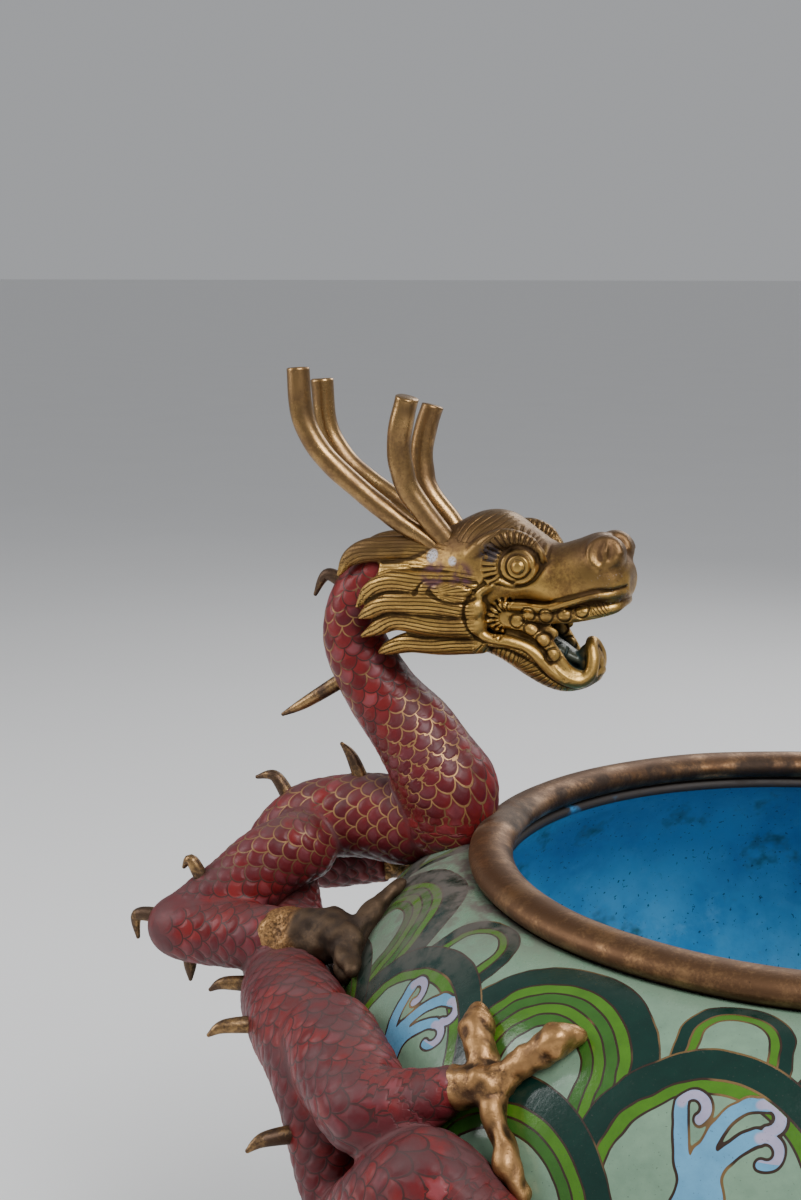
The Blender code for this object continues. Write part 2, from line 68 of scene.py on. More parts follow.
# %% [markdown]
# ## Sizes that the pieces share
# All lengths are in metres. The rim's middle is the level that the bowl, the dragons and the camera are
# measured from, so it gets a name. Dragons were laid out in millimetres, and MM turns those into metres.

# %% Shared sizes
MM = 0.001
MOUTH_RADIUS = 0.150
RIM_WIDTH = 0.018
RIM_THICKNESS = 0.012
BELLY_RADIUS = 0.214
BELLY_DROP = 0.106
BOWL_DEPTH = 0.242
WALL = 0.0035
FOOT_HEIGHT = 0.048
FOOT_RADIUS = 0.150
RIM_LEVEL = FOOT_HEIGHT + BOWL_DEPTH
SHOULDER_FULLNESS = 1.85
BASE_FULLNESS = 2.3
DRAGON_NAMES = ("dragon_a", "dragon_b")
print("rim level in mm:", round(RIM_LEVEL * 1000), "quick look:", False)

# %% [markdown]
# ## Two ways to make a skin
# Round pieces are turned: a profile is carried round the axis, as on a lathe. Limbs, horns and locks
# of hair are swept: rings are set square along a smooth path. A path is a table with one row for each
# place: x, y, z and the radius there. Catmull-Rom curves pass through every place that we give, which
# makes them easy to lay out.

# %% Smooth paths
def smooth_path(stations, step):
    stations = np.asarray(stations, float)
    padded = np.vstack([stations[:1], stations, stations[-1:]])
    rows = []
    for before, start, end, after in zip(padded, padded[1:], padded[2:], padded[3:]):
        count = max(1, math.ceil(np.linalg.norm((end - start)[:3]) / step))
        t = (np.arange(count) / count)[:, None]
        bend = 2 * before - 5 * start + 4 * end - after
        turn = 3 * start - before - 3 * end + after
        rows.append((2 * start + (end - before) * t + bend * t**2 + turn * t**3) / 2)
    return np.vstack(rows + [stations[-1:]])


def unit(vectors):
    return vectors / np.maximum(np.linalg.norm(vectors, axis=-1, keepdims=True), 1e-12)


def headings(path):
    return unit(np.gradient(path[:, :3], axis=0))


def round_ends(path, at_start=True, at_end=True):
    """Add the rings of a dome beyond one end or both."""
    turns = np.linspace(0.12, 0.96, 6) * math.pi / 2
    ways = headings(path)

    def dome(row, way):
        places = row[:3] + way * row[3] * np.sin(turns)[:, None]
        return np.column_stack([places, row[3] * np.cos(turns)])

    parts = [path]
    if at_start:
        parts.insert(0, dome(path[0], -ways[0])[::-1])
    if at_end:
        parts.append(dome(path[-1], ways[-1]))
    return np.vstack(parts)


# %% Swept skins
def sweep(path, sides=24, flat=1.0, flat_way=(0, 1, 0)):
    """Points and faces of a closed tube; flat below 1 thins it along flat_way."""
    ways = headings(path)
    side = np.cross(ways[0], (0.31, 0.22, 0.93))
    turns = np.arange(sides) * 2 * math.pi / sides
    rings = []
    for row, way in zip(path, ways):
        side = unit(side - way * side.dot(way))
        other = np.cross(way, side)
        ring = np.cos(turns)[:, None] * side + np.sin(turns)[:, None] * other
        if flat != 1.0:
            thin = unit(np.asarray(flat_way, float) - way * way.dot(flat_way))
            ring = ring - thin * (ring @ thin)[:, None] * (1 - flat)
        rings.append(row[:3] + ring * row[3])
    return np.vstack(rings), ring_faces(len(rings), sides)


def ring_faces(count, sides, caps=True):
    faces = []
    for ring in range(count - 1):
        for side in range(sides):
            after = (side + 1) % sides
            low, high = ring * sides, (ring + 1) * sides
            faces.append((low + side, low + after, high + after, high + side))
    if caps:
        faces.append(tuple(range(sides))[::-1])
        faces.append(tuple(range((count - 1) * sides, count * sides)))
    return faces


def gather(skins):
    """Put several skins in one table of points and one list of faces."""
    points, faces, start = [], [], 0
    for some_points, some_faces in skins:
        points.append(some_points)
        faces += [tuple(index + start for index in face) for face in some_faces]
        start += len(some_points)
    return np.vstack(points), faces


def new_object(name, data):
    """Put a mesh, a light or a camera in the scene."""
    made = bpy.data.objects.new(name, data)
    bpy.context.scene.collection.objects.link(made)
    return made


def new_piece(name, skin):
    points, faces = skin
    mesh = bpy.data.meshes.new(name)
    mesh.from_pydata(points.tolist(), [], faces)
    mesh.shade_smooth()
    return new_object(name, mesh)


# %% [markdown]
# ## Fusing overlapping skins
# A cast head or a soldered limb has no seam where its parts meet. The Remesh modifier in voxel mode
# wraps overlapping skins in one even skin, and a few rounds of averaging each point with its
# neighbours take the steps of the voxels away. The even skin is also what carving needs: it has a
# point wherever we want to push one in or out.


def table_of(rows, name, width, kind=float):
    """Read one value of a mesh's points or edges as a table."""
    values = np.empty(len(rows) * width, kind)
    rows.foreach_get(name, values)
    return values.reshape(-1, width)


def points_of(mesh):
    return table_of(mesh.vertices, "co", 3)


def normals_of(mesh):
    return table_of(mesh.vertex_normals, "vector", 3)


def edges_of(mesh):
    return table_of(mesh.edges, "vertices", 2, int)


def move_points(mesh, points):
    mesh.vertices.foreach_set("co", points.ravel())
    mesh.update()


def neighbour_mean(values, edges):
    total = np.zeros_like(values)
    count = np.zeros(len(values))
    for here, there in (edges.T, edges.T[::-1]):
        count += np.bincount(here, minlength=len(values))
        for column in range(values.shape[1]):
            total[:, column] += np.bincount(here, values[there, column], len(values))
    return total / np.maximum(count, 1)[:, None]


def soften(mesh, amount, rounds):
    """Average each point with its neighbours, by an amount from 0 to 1 that may vary over the mesh."""
    points, edges = points_of(mesh), edges_of(mesh)
    for _ in range(rounds):
        points += (neighbour_mean(points, edges) - points) * np.reshape(amount, (-1, 1))
    move_points(mesh, points)


def even_skin(name, skins, voxel, rounds):
    """One even, smoothed skin round several overlapping ones."""
    rough = new_piece(name + "_rough", gather(skins))
    wrap = rough.modifiers.new("wrap", "REMESH")
    wrap.mode = "VOXEL"
    wrap.voxel_size = voxel * 1
    bpy.context.view_layer.update()
    wrapped = rough.evaluated_get(bpy.context.evaluated_depsgraph_get())
    mesh = bpy.data.meshes.new_from_object(wrapped)
    bpy.data.objects.remove(rough, do_unlink=True)
    mesh.name = name
    for _ in range(rounds):
        soften(mesh, 0.6, 1)
        soften(mesh, -0.4, 1)
    mesh.shade_smooth()
    return new_object(name, mesh)


def store(mesh, name, values):
    """Keep a number or a vector at every point, for the finishes to read."""
    vector = values.ndim == 2
    layer = mesh.attributes.new(name, "FLOAT_VECTOR" if vector else "FLOAT", "POINT")
    layer.data.foreach_set("vector" if vector else "value", values.astype(np.float32).ravel())


def hollows(mesh):
    """How far each point lies below its wider surroundings, in mm."""
    points, edges = points_of(mesh), edges_of(mesh)
    mean = points.copy()
    for _ in range(10):
        mean = neighbour_mean(mean, edges)
    return ((mean - points) * normals_of(mesh)).sum(1) / MM


def lumps(points, size, seed=3):
    """Uneven lumps from about -1 to 1, as a hand file or a rough mould leaves them."""
    random = np.random.default_rng(seed)
    waves = 24
    ways = unit(random.normal(size=(waves, 3))) * (2 * math.pi / size)
    return np.sin(points @ ways.T + random.uniform(0, 2 * math.pi, waves)).sum(1) / 5


# %% [markdown]
# ## Shader maths as sums
# A procedural finish is arithmetic on each point of a surface. Blender writes that as nodes, one for
# each step, which is slow to build and hard to read. The small class below wraps a node's socket, so
# that `1 - mask` or `height * 0.3` adds the right Math node by itself. Colours go through Mix nodes,
# because a Math node would turn them grey. Any other node comes from `node`.

# %% A socket that can be used in sums
def sums(operation):
    """The method that stands for one operation of the Math node."""
    return lambda signal, *others: signal.maths(operation, *others)


class Signal:
    def __init__(self, tree, socket=None):
        self.tree = tree
        self.socket = socket

    def node(self, kind, settings=None, values=None, output=0):
        """Add a node, with its settings first and then what its sockets take."""
        made = self.tree.nodes.new("ShaderNode" + kind)
        for name, setting in (settings or {}).items():
            setattr(made, name, setting)
        for name, value in (values or {}).items():
            if isinstance(value, Signal):
                self.tree.links.new(value.socket, made.inputs[name])
            elif value is not None:
                whole = made.inputs[name].type == "RGBA" and len(value) == 3
                made.inputs[name].default_value = (*value, 1) if whole else value
        return Signal(self.tree, made.outputs[output])

    def maths(self, operation, *others):
        return self.node("Math", {"operation": operation}, dict(enumerate((self, *others))))

    __add__ = __radd__ = sums("ADD")
    __sub__ = sums("SUBTRACT")
    __mul__ = __rmul__ = sums("MULTIPLY")
    __truediv__ = sums("DIVIDE")
    __abs__ = sums("ABSOLUTE")
    __lt__ = sums("LESS_THAN")
    __gt__ = sums("GREATER_THAN")
    least = sums("MINIMUM")
    most = sums("MAXIMUM")

    def __rsub__(self, other):
        return self.node("Math", {"operation": "SUBTRACT"}, {0: other, 1: self})

    def __neg__(self):
        return self * -1.0

    def step(self, low, high):
        """0 below low, 1 above high and a smooth rise between; low above high turns it round."""
        settings = {"interpolation_type": "SMOOTHSTEP"}
        if low > high:
            return self.node("MapRange", settings, {0: self, 1: high, 2: low, 3: 1.0, 4: 0.0})
        return self.node("MapRange", settings, {0: self, 1: low, 2: high, 3: 0.0, 4: 1.0})

    def pick(self, without, having):
        """This signal mixes two numbers: without at 0, having at 1."""
        return self.node("Mix", {"data_type": "FLOAT"}, {0: self, 2: without, 3: having})

    def tint(self, without, having):
        """This signal mixes two colours."""
        return self.node("Mix", {"data_type": "RGBA"}, {0: self, 6: without, 7: having}, 2)

    def parts(self):
        made = self.node("SeparateXYZ", None, {0: self}).socket.node
        return [Signal(self.tree, socket) for socket in made.outputs]


def length(across, up):
    return (across * across + up * up).maths("SQRT")

# %% Start a finish, and read what a mesh stores
def new_finish(name):
    """A material with one Principled shader. Returns a Signal to build from, and the shader."""
    material = bpy.data.materials.new(name)
    material.use_nodes = True
    shader = material.node_tree.nodes["Principled BSDF"]
    return Signal(material.node_tree), shader


def stored(maker, name, vector=True):
    settings = {"attribute_name": name}
    return maker.node("Attribute", settings, None, "Vector" if vector else "Fac")


def noise(place, scale, detail=2.0, rough=0.5):
    """Cloudy noise from 0 to 1; scale is in clouds per millimetre."""
    values = {"Vector": place, "Scale": scale, "Detail": detail, "Roughness": rough}
    return place.node("TexNoise", None, values, "Fac")


def dice(name):
    """A number from 0 to 1 by chance, always the same for the same name."""
    return name.node("TexWhiteNoise", {"noise_dimensions": "1D"}, {"W": name}, "Value")


def set_finish(shader, links, bump=None, **plain):
    """Join what varies to the shader, and set what is the same all over."""
    tree = shader.id_data
    for name, signal in links.items():
        tree.links.new(signal.socket, shader.inputs[name])
    if bump:
        height, depth = bump
        relief = height.node("Bump", None, {"Height": height, "Distance": depth, "Strength": 1.0})
        tree.links.new(relief.socket, shader.inputs["Normal"])
    for name, value in plain.items():
        shader.inputs[name.replace("_", " ")].default_value = value
    return next(material for material in bpy.data.materials if material.node_tree == tree)


# %% [markdown]
# ## The bowl
# The bowl was raised from copper sheet: a wide belly, a shoulder that turns in to the mouth, and a
# narrow lip that carries the rim. Both curves of the profile are superellipses. A turned skin of 168
# steps looks round, and stays light. Its points also keep how far down the wall they lie, because the
# wave pattern is laid out along the wall, and not straight down.

# %% The bowl's profile
BOWL_SIDES = 168
PROFILE_STEPS = 36    # the measured model's profile has COARSE_STEPS, and dragons are placed on that
COARSE_STEPS = 6
LIP_GAP = 0.0003      # between the rim and the lip under it
LIP_REACH = 0.0055    # how far the lip stands in from the rim's middle
LIP_WIDTH = 0.011


def bowl_profile(steps):
    neck = MOUTH_RADIUS - 0.003
    rise = BELLY_DROP - RIM_THICKNESS * 0.42
    turn = np.linspace(0, math.pi / 2, steps + 1)
    upper = np.column_stack([
        neck + (BELLY_RADIUS - neck) * np.sin(turn) ** (2 / SHOULDER_FULLNESS),
        rise * np.cos(turn) - BELLY_DROP,
    ])
    low_radius = BELLY_RADIUS * np.maximum(np.cos(turn[1:]), 0) ** (2 / BASE_FULLNESS)
    low_level = -BELLY_DROP - (BOWL_DEPTH - BELLY_DROP) * np.sin(turn[1:]) ** (2 / BASE_FULLNESS)
    return np.vstack([upper, np.column_stack([low_radius, low_level])])


def moved_in(profile, amount):
    run = np.gradient(profile, axis=0)
    out = unit(np.column_stack([-run[:, 1], run[:, 0]]))
    moved = profile - out * amount
    moved[:, 0] = np.maximum(moved[:, 0], 0)
    return moved


profile = bowl_profile(PROFILE_STEPS)
coarse_profile = bowl_profile(COARSE_STEPS)
wall_length = np.concatenate([[0], np.cumsum(np.linalg.norm(np.diff(profile, axis=0), axis=1))])
print("wall length in mm:", round(wall_length[-1] * 1000))

# %% Turn the bowl
def turned(profile, steps):
    """Points and faces of a closed profile carried round the axis."""
    turns = np.arange(steps) * 2 * math.pi / steps
    radius, level = profile[:, :1], profile[:, 1:]
    columns = [radius * np.cos(turns), radius * np.sin(turns), RIM_LEVEL + level + 0 * turns]
    points = np.stack(columns, axis=2).reshape(-1, 3)
    faces = ring_faces(len(profile), steps, caps=False)
    last = (len(profile) - 1) * steps
    for side in range(steps):
        after = (side + 1) % steps
        faces.append((last + side, last + after, after, side))
    return points, faces


inner = moved_in(profile, WALL)
under_lip = -RIM_THICKNESS / 2 - LIP_GAP - WALL
over_lip = under_lip + WALL
inner = inner[inner[:, 1] < under_lip - WALL / 2]
lip_inner = MOUTH_RADIUS - RIM_WIDTH / 2 - LIP_REACH
outer = profile.copy()
outer[-1, 0] = inner[-1, 0] = 0.0004
lip = np.array([(lip_inner, under_lip), (lip_inner, over_lip), (lip_inner + LIP_WIDTH, over_lip)])
whole_profile = np.vstack([outer, inner[::-1], lip])
bowl = new_piece("enamelled_bowl", turned(whole_profile, BOWL_SIDES))
store(bowl.data, "place", points_of(bowl.data) / MM)
down = np.concatenate([wall_length, np.zeros(len(whole_profile) - len(outer))])
store(bowl.data, "down", np.repeat(down / MM, BOWL_SIDES))
print("bowl faces:", len(bowl.data.polygons))

# %% [markdown]
# ## The wave enamel
# The pattern is rows of wave hills, each lower row in front of the one above. A hill has a thick dark
# green edge. Inside it lies either a fan of green stripes or a splash of foam. For each point of the
# wall the finish asks four hills, from the front row to the back, whether the point lies in them, and
# keeps the first that says yes. Everything after that is drawn in the hill's own coordinates.

# %% Find the hill in front
WAVE_ROW = 26.5       # mm down the wall from row to row
WAVES_ROUND = 9
FIRST_ROW = 20.0      # mm down the wall to the first row's foot
FIRST_TURN = 45.0     # degrees round to the first hill
HILL_HEIGHT = 49.0    # mm

green, green_shader = new_finish("wave_enamel_fired")
place = stored(green, "place")
place_x, place_y, _ = place.parts()
down = stored(green, "down", vector=False)
wall_radius = length(place_x, place_y)
wobble = (noise(place, 0.05) - 0.5) * 5.0
round_bowl = (-place_y).maths("ARCTAN2", -place_x)
turn = round_bowl * (WAVES_ROUND / (2 * math.pi)) - FIRST_TURN * WAVES_ROUND / 360
pitch = wall_radius * (2 * math.pi / WAVES_ROUND)
row_place = (down + wobble * 0.5 - FIRST_ROW) / WAVE_ROW
first = row_place.maths("CEIL")


def hill(back_rows):
    """The nearest hill of a row: across, up, how far out in it, its name, half its width, its row."""
    row = first + back_rows
    shift = row.maths("FLOORED_MODULO", 2.0) * 0.5
    column = (turn - shift).maths("ROUND")
    across = (turn - shift - column) * pitch + wobble
    up = (row - row_place) * WAVE_ROW
    half = (pitch * 0.27 + 9.0) * (row * 0.5 + 0.48).least(1.0).most(0.2)
    height = (row * 25.0 + 17.0).least(HILL_HEIGHT).most(1.0)
    out = length(across / half, up.most(0.0) / height) + (row < -0.5) * 9.0
    return across, up, out, column * 7.31 + row * 3.17, half, row


front = hill(-1.0)
for back_rows in (0.0, 1.0, 2.0):
    candidate = hill(back_rows)
    inside = candidate[2] < 1.0
    front = [inside.pick(old, new) for old, new in zip(front, candidate)]
across, up, out, name, half, row = front
covered = out < 1.0
chance = dice(name)
print("nodes so far:", len(green.tree.nodes))

# %% [markdown]
# The stripes follow the hill's edge, so one number, the depth in from the edge, draws them all. The
# foam is three curls on a common foot. The stem and the hook of a curl are each a piece of a circle,
# one straight stroke joins the middle pair, and the distance to such simple lines is short arithmetic.
# Foam is laid out at full size, and made a little smaller to fit inside the hill's stripes.

# %% Stripes and foam
FOAM_SIZE = 0.85
STEM_WIDTH = 3.6      # half widths, at full size
HOOK_WIDTH = 2.4
STROKE_WIDTH = 2.9

depth = (1.0 - out) * half
foam_across = (across + 2.0) / FOAM_SIZE
foam_up = up / FOAM_SIZE


def to_stroke(start, end):
    """Distance from a straight stroke of the foam."""
    run, rise = end[0] - start[0], end[1] - start[1]
    x, y = foam_across - start[0], foam_up - start[1]
    share = ((x * run + y * rise) / (run * run + rise * rise)).most(0.0).least(1.0)
    return length(x - share * run, y - share * rise)


def to_arc(centre, radius, middle, half_turn):
    """Distance from a piece of a circle; its middle and half width are in degrees."""
    middle, half_turn = math.radians(middle), math.radians(half_turn)
    x, y = foam_across - centre[0], foam_up - centre[1]
    along = x * math.cos(middle) + y * math.sin(middle)
    side = abs(y * math.cos(middle) - x * math.sin(middle))
    on_ring = abs(length(x, y) - radius)
    to_end = length(side - radius * math.sin(half_turn), along - radius * math.cos(half_turn))
    beyond = side * math.cos(half_turn) > along * math.sin(half_turn)
    return beyond.pick(on_ring, to_end)


def to_bow(start, middle, end):
    """Distance from the piece of a circle through three places."""
    (x1, y1), (x2, y2), (x3, y3) = start, middle, end
    rows = 2 * np.array([(x2 - x1, y2 - y1), (x3 - x1, y3 - y1)])
    squares = [math.hypot(*place) ** 2 for place in (start, middle, end)]
    centre = np.linalg.solve(rows, [squares[1] - squares[0], squares[2] - squares[0]])
    angles = [math.degrees(math.atan2(y - centre[1], x - centre[0])) for x, y in (start, middle, end)]
    before, after = [(angle - angles[1] + 180) % 360 - 180 for angle in (angles[0], angles[2])]
    radius = math.hypot(x1 - centre[0], y1 - centre[1])
    return to_arc(centre, radius, angles[1] + (before + after) / 2, abs(before - after) / 2)


STEMS = [
    ((-1, 2), (-9, 18), (-11, 33)), ((0.5, 2), (4.2, 27), (14, 37.3)), ((2, 0), (8, 18), (18, 26.4)),
]
HOOKS = [((-6.3, 32.4), 4.8, 57, 112), ((20.5, 33.3), 5.0, 22, 95), ((21.5, 21.8), 4.8, 8, 112)]
STROKE = ((13, 37), (20, 38))
foam = (abs(foam_across - 0.5) + foam_up * 0.26 - 9.5).maths("SMOOTH_MAX", foam_up - 20.0, 4.0)
foam = foam.maths("SMOOTH_MIN", to_stroke(*STROKE) - STROKE_WIDTH, 2.0)
tip = None
for stem, hook in zip(STEMS, HOOKS):
    to_hook = to_arc(*hook)
    to_stem = to_bow(*stem) - STEM_WIDTH + foam_up * 0.02
    foam = foam.maths("SMOOTH_MIN", to_stem, 2.5).maths("SMOOTH_MIN", to_hook - HOOK_WIDTH, 1.0)
    tip = to_hook if tip is None else tip.least(to_hook)
foam_hill = (row.maths("FLOORED_MODULO", 2.0) < 0.5) * (row > 1.5) * covered
in_foam = (foam < 0.0) * foam_hill * (depth > 10.0)
lavender = (tip - 1.0).step(1.6, 0.2) * (foam_up > 18.0)
print("curls of foam:", len(STEMS))

# %% Colours and wires of the waves
DARK_GREEN = (0.004, 0.027, 0.020)
LEAF_GREEN = (0.064, 0.178, 0.014)
MOSS_GREEN = (0.036, 0.120, 0.018)
CELADON = (0.180, 0.292, 0.205)
FOAM_BLUE = (0.120, 0.330, 0.530)
LAVENDER = (0.380, 0.350, 0.500)
OLD_WIRE = (0.030, 0.016, 0.010)
BRIGHT_WIRE = (0.30, 0.185, 0.080)
STRIPE = 4.5          # mm across a stripe
WIRE = 0.38           # mm, half the width of a wire with its dark edges

big = row > 0.5         # the rows next to the rim have smaller hills
dark_depth = big.pick(5.0, 9.5)
stripe_depth = big.pick(8.5, foam_hill.pick((chance > 0.8).pick(27.5, 18.5), 14.0))
dark_band = depth < dark_depth
striped = (depth < stripe_depth) * (depth > dark_depth)
stripes = (depth - dark_depth) / STRIPE
stripe_turn = stripes.maths("FRACT")
which = (stripes * 0.5).maths("FRACT") > 0.5
cloud = noise(place, 0.12, 4.0, 0.6)
fine = noise(place, 0.9, 3.0, 0.6)

paint = which.tint(LEAF_GREEN, MOSS_GREEN)
paint = striped.tint(CELADON, paint)
paint = dark_band.tint(paint, DARK_GREEN)
paint = covered.tint(CELADON, paint)
paint = in_foam.tint(paint, lavender.tint(FOAM_BLUE, LAVENDER))

edge_wire = depth < WIRE * 1.6
band_wire = abs(depth - dark_depth) < WIRE
end_wire = abs(depth - stripe_depth) < WIRE
stripe_wire = striped * (abs(stripe_turn - 0.5) > 0.5 - WIRE / STRIPE)
foam_wire = (abs(foam) * FOAM_SIZE < WIRE * 1.2) * foam_hill * (depth > 9.5)
wires = edge_wire.most((1 - in_foam) * band_wire.most(end_wire).most(stripe_wire)) * covered
wires = wires.most(foam_wire)
bright_wire = noise(place, 0.035).step(0.55, 0.66)
wire_colour = bright_wire.tint(OLD_WIRE, BRIGHT_WIRE)
print("wave finish nodes:", len(green.tree.nodes))

# %% Wear on the waves
DARK_SPECK = (0.05, 0.06, 0.05)
BROWN_DUST = (0.105, 0.088, 0.076)

shade = cloud.tint((0.60, 0.62, 0.62), (1.22, 1.20, 1.15))
multiply = {"data_type": "RGBA", "blend_type": "MULTIPLY"}
paint = green.node("Mix", multiply, {0: 1.0, 6: paint, 7: shade}, 2)
specks = noise(place, 1.6, 2.0).step(0.68, 0.74)
paint = (specks * 0.65).tint(paint, DARK_SPECK)
paint = wires.tint(paint, wire_colour)
near_rim = down.step(16.0, 2.0)
to_handle = length(wall_radius - abs(place_x), down * 0.9)
dust = (near_rim * 0.3 + to_handle.step(82.0, 25.0)) * cloud.step(0.30, 0.60)
paint = (dust * 0.80).tint(paint, BROWN_DUST)
roughness = dust * 0.45 + wires * 0.12 + fine * 0.16 + 0.13
relief = wires * 0.5 + cloud * 0.9 + fine * 0.10
wave_finish = set_finish(
    green_shader, {"Base Color": paint, "Roughness": roughness, "Metallic": wires * bright_wire * 0.8},
    bump=(relief, 0.00025), Coat_Weight=0.1, Coat_Roughness=0.15, Specular_IOR_Level=0.36,
)

# %% [markdown]
# ## The turquoise inside
# The inside has no wires. It is one coat of turquoise glass, thick and glossy, with dark specks, a few
# greenish burns and a slightly wavy surface that breaks up the reflections. A painted shade darkens it
# towards the rim, with darker streaks just under the rim, and the lip under the rim is bare and brown.

# %% Turquoise enamel
DEEP_TURQUOISE = (0.042, 0.275, 0.580)
PALE_TURQUOISE = (0.120, 0.510, 0.810)
MILKY_BLUE = (0.190, 0.600, 0.850)
BURNT_GREEN = (0.055, 0.110, 0.080)
BLUE_SPECK = (0.006, 0.040, 0.090)
# Colour of the painted shade towards the rim.
PAINTED_SHADE_BLUE = (0.010, 0.070, 0.190)
DARK_STREAK_NAVY = (0.020, 0.036, 0.050)
LIP_BROWN = (0.040, 0.032, 0.028)

blue, blue_shader = new_finish("turquoise_enamel")
place = stored(blue, "place")
cloud = noise(place, 0.016, 5.0, 0.62)
streak = noise(place, 0.05, 6.0, 0.7)
burn = noise(place, 0.030, 4.0, 0.65)
speck = noise(place, 0.55, 2.0)
paint = cloud.step(0.30, 0.66).tint(DEEP_TURQUOISE, PALE_TURQUOISE)
paint = (streak.step(0.52, 0.78) * 0.55).tint(paint, MILKY_BLUE)
paint = (burn.step(0.56, 0.70) * 0.80).tint(paint, BURNT_GREEN)
paint = (speck.step(0.66, 0.71) * 0.8).tint(paint, BLUE_SPECK)
_, _, height = place.parts()
# Painted shade: the wall is darkened towards the rim.
paint = (height.step(225.0, 280.0) * 0.5).tint(paint, PAINTED_SHADE_BLUE)
# Darker streaks just under the rim.
dark_rim_streaks = height.step(258.0, 282.0) * streak.step(0.36, 0.62)
paint = (dark_rim_streaks * 0.85).tint(paint, DARK_STREAK_NAVY)
lip = height.step(277.0, 280.5)
paint = (lip * burn.step(0.36, 0.44)).tint(paint, LIP_BROWN)
relief = streak * 0.6 + noise(place, 0.25, 3.0) * 0.25
roughness = streak * 0.16 + burn.step(0.6, 0.74) * 0.2 + lip * 0.55 + 0.05
blue_finish = set_finish(
    blue_shader, {"Base Color": paint, "Coat Weight": (1 - lip) * 0.6, "Roughness": roughness},
    bump=(relief, 0.0009), Coat_Roughness=0.04,
)
print("turquoise finish nodes:", len(blue.tree.nodes))

# %% Dress the bowl
bowl.data.materials.append(wave_finish)
bowl.data.materials.append(blue_finish)
outside = (len(outer) - 1) * BOWL_SIDES
slots = np.zeros(len(bowl.data.polygons), int)
slots[outside:] = 1
bowl.data.polygons.foreach_set("material_index", slots)
# The faces at the very bottom close the inner and the outer skin to a point, so they stay flat.
smooth = np.ones(len(slots), bool)
smooth[outside:outside + BOWL_SIDES] = False
bowl.data.polygons.foreach_set("use_smooth", smooth)
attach(bowl, "root")
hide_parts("bowl")
print("inside faces:", int(slots.sum()))

# %% [markdown]
# ## Gilt and bronze
# All the metal is one family: gilt bronze that has worn. High places are rubbed bright, hollows hold
# brown dirt, and cloudy patches have gone dull. One function makes them all, with its own
# colours and amounts for each piece, so that they age alike. Meshes that were carved store how hollow
# each point is, and the finish reads that.

# %% A worn metal finish
def worn_metal(name, bright, dull, dirt, wear=0.5, gloss=0.33, hollow_depth=0.25, pits=1.0):
    maker, shader = new_finish(name)
    place = stored(maker, "place")
    hollow = stored(maker, "hollow", vector=False)
    cloud = noise(place, 0.07, 4.0, 0.6)
    grain = noise(place, 0.8, 4.0, 0.65)
    pit = noise(place, 1.7, 2.0)
    dullness = (cloud + (grain - 0.5) * 0.5).step(wear + 0.16, wear - 0.16)
    raised = hollow.step(0.0, -hollow_depth)
    sunk = hollow.step(0.02, hollow_depth)
    colour = (dullness * (1 - raised * 0.7)).tint(bright, dull)
    colour = (sunk * 0.9).tint(colour, dirt)
    pitted = pit.step(0.66, 0.74) * pits
    colour = (pitted * 0.6).tint(colour, dirt)
    roughness = dullness * 0.16 + sunk * 0.25 + grain * 0.14 + (gloss - 0.07)
    relief = cloud * 0.5 + grain * 0.22 - pitted * 0.35
    return maker, shader, place, colour, roughness, relief


def plain_metal(name, bright, dull, dirt, depth, metallic, **amounts):
    """A worn metal with nothing added; depth is how deep its relief goes, in metres."""
    _, shader, _, colour, roughness, relief = worn_metal(name, bright, dull, dirt, **amounts)
    links = {"Base Color": colour, "Roughness": roughness}
    return set_finish(shader, links, bump=(relief, depth), Metallic=metallic)


# %% Bronze of the rim
RIM_BRIGHT = (0.270, 0.150, 0.070)
RIM_DULL = (0.125, 0.066, 0.034)
RIM_DIRT = (0.035, 0.022, 0.015)
RIM_GRIME = (0.045, 0.035, 0.030)
RIM_DUST = (0.120, 0.100, 0.085)
BLUE_CHIP = (0.05, 0.24, 0.36)

made = worn_metal("rim_bronze", RIM_BRIGHT, RIM_DULL, RIM_DIRT, wear=0.56, gloss=0.36)
maker, shader, place, colour, roughness, relief = made
place_x, place_y, height = place.parts()
from_axis = length(place_x, place_y)
grime = from_axis.step(139.0, 133.5) * noise(place, 0.06, 5.0, 0.65).step(0.38, 0.60)
colour = (grime * 0.8).tint(colour, RIM_GRIME)
inward = from_axis.step(133.0, 132.3) * height.step(288.0, 286.0)
chips = inward * noise(place, 0.10, 4.0, 0.7).step(0.60, 0.63)
colour = chips.tint(colour, BLUE_CHIP)
by_dragon = length(abs(place_x) - MOUTH_RADIUS / MM, place_y).step(40.0, 12.0)
dusty = by_dragon * noise(place, 0.08, 4.0).step(0.35, 0.60)
colour = (dusty * 0.7).tint(colour, RIM_DUST)
metallic = (1 - chips) * (1 - dusty * 0.6) * 0.92
roughness = roughness + grime * 0.2 + dusty * 0.3
bronze_finish = set_finish(
    shader, {"Base Color": colour, "Roughness": roughness, "Metallic": metallic}, bump=(relief, 0.0003),
)
print("rim finish nodes:", len(maker.tree.nodes))

# %% [markdown]
# ## The rim
# The rim is a rolled bronze ring on the bowl's lip. It is turned like the bowl, from an oval section.
# A little unevenness in its height keeps it from looking machined: it was filed by hand.

# %% Turn the rim
RIM_SIDES = 240
SECTION_SIDES = 24

turns = np.arange(SECTION_SIDES) * 2 * math.pi / SECTION_SIDES
section_radius = MOUTH_RADIUS - RIM_WIDTH / 2 + RIM_WIDTH / 2 * np.cos(turns)
section = np.column_stack([section_radius, -RIM_THICKNESS / 2 * np.sin(turns)])
rim = new_piece("rolled_rim", turned(section, RIM_SIDES))
points = points_of(rim.data)
points[:, 2] += lumps(points, 0.055) * 0.12 * MM
store(rim.data, "hollow", np.zeros(len(points)))
move_points(rim.data, points)
store(rim.data, "place", points / MM)
rim.data.materials.append(bronze_finish)
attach(rim, "root")
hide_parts("mouth_rim")
print("rim faces:", len(rim.data.polygons))

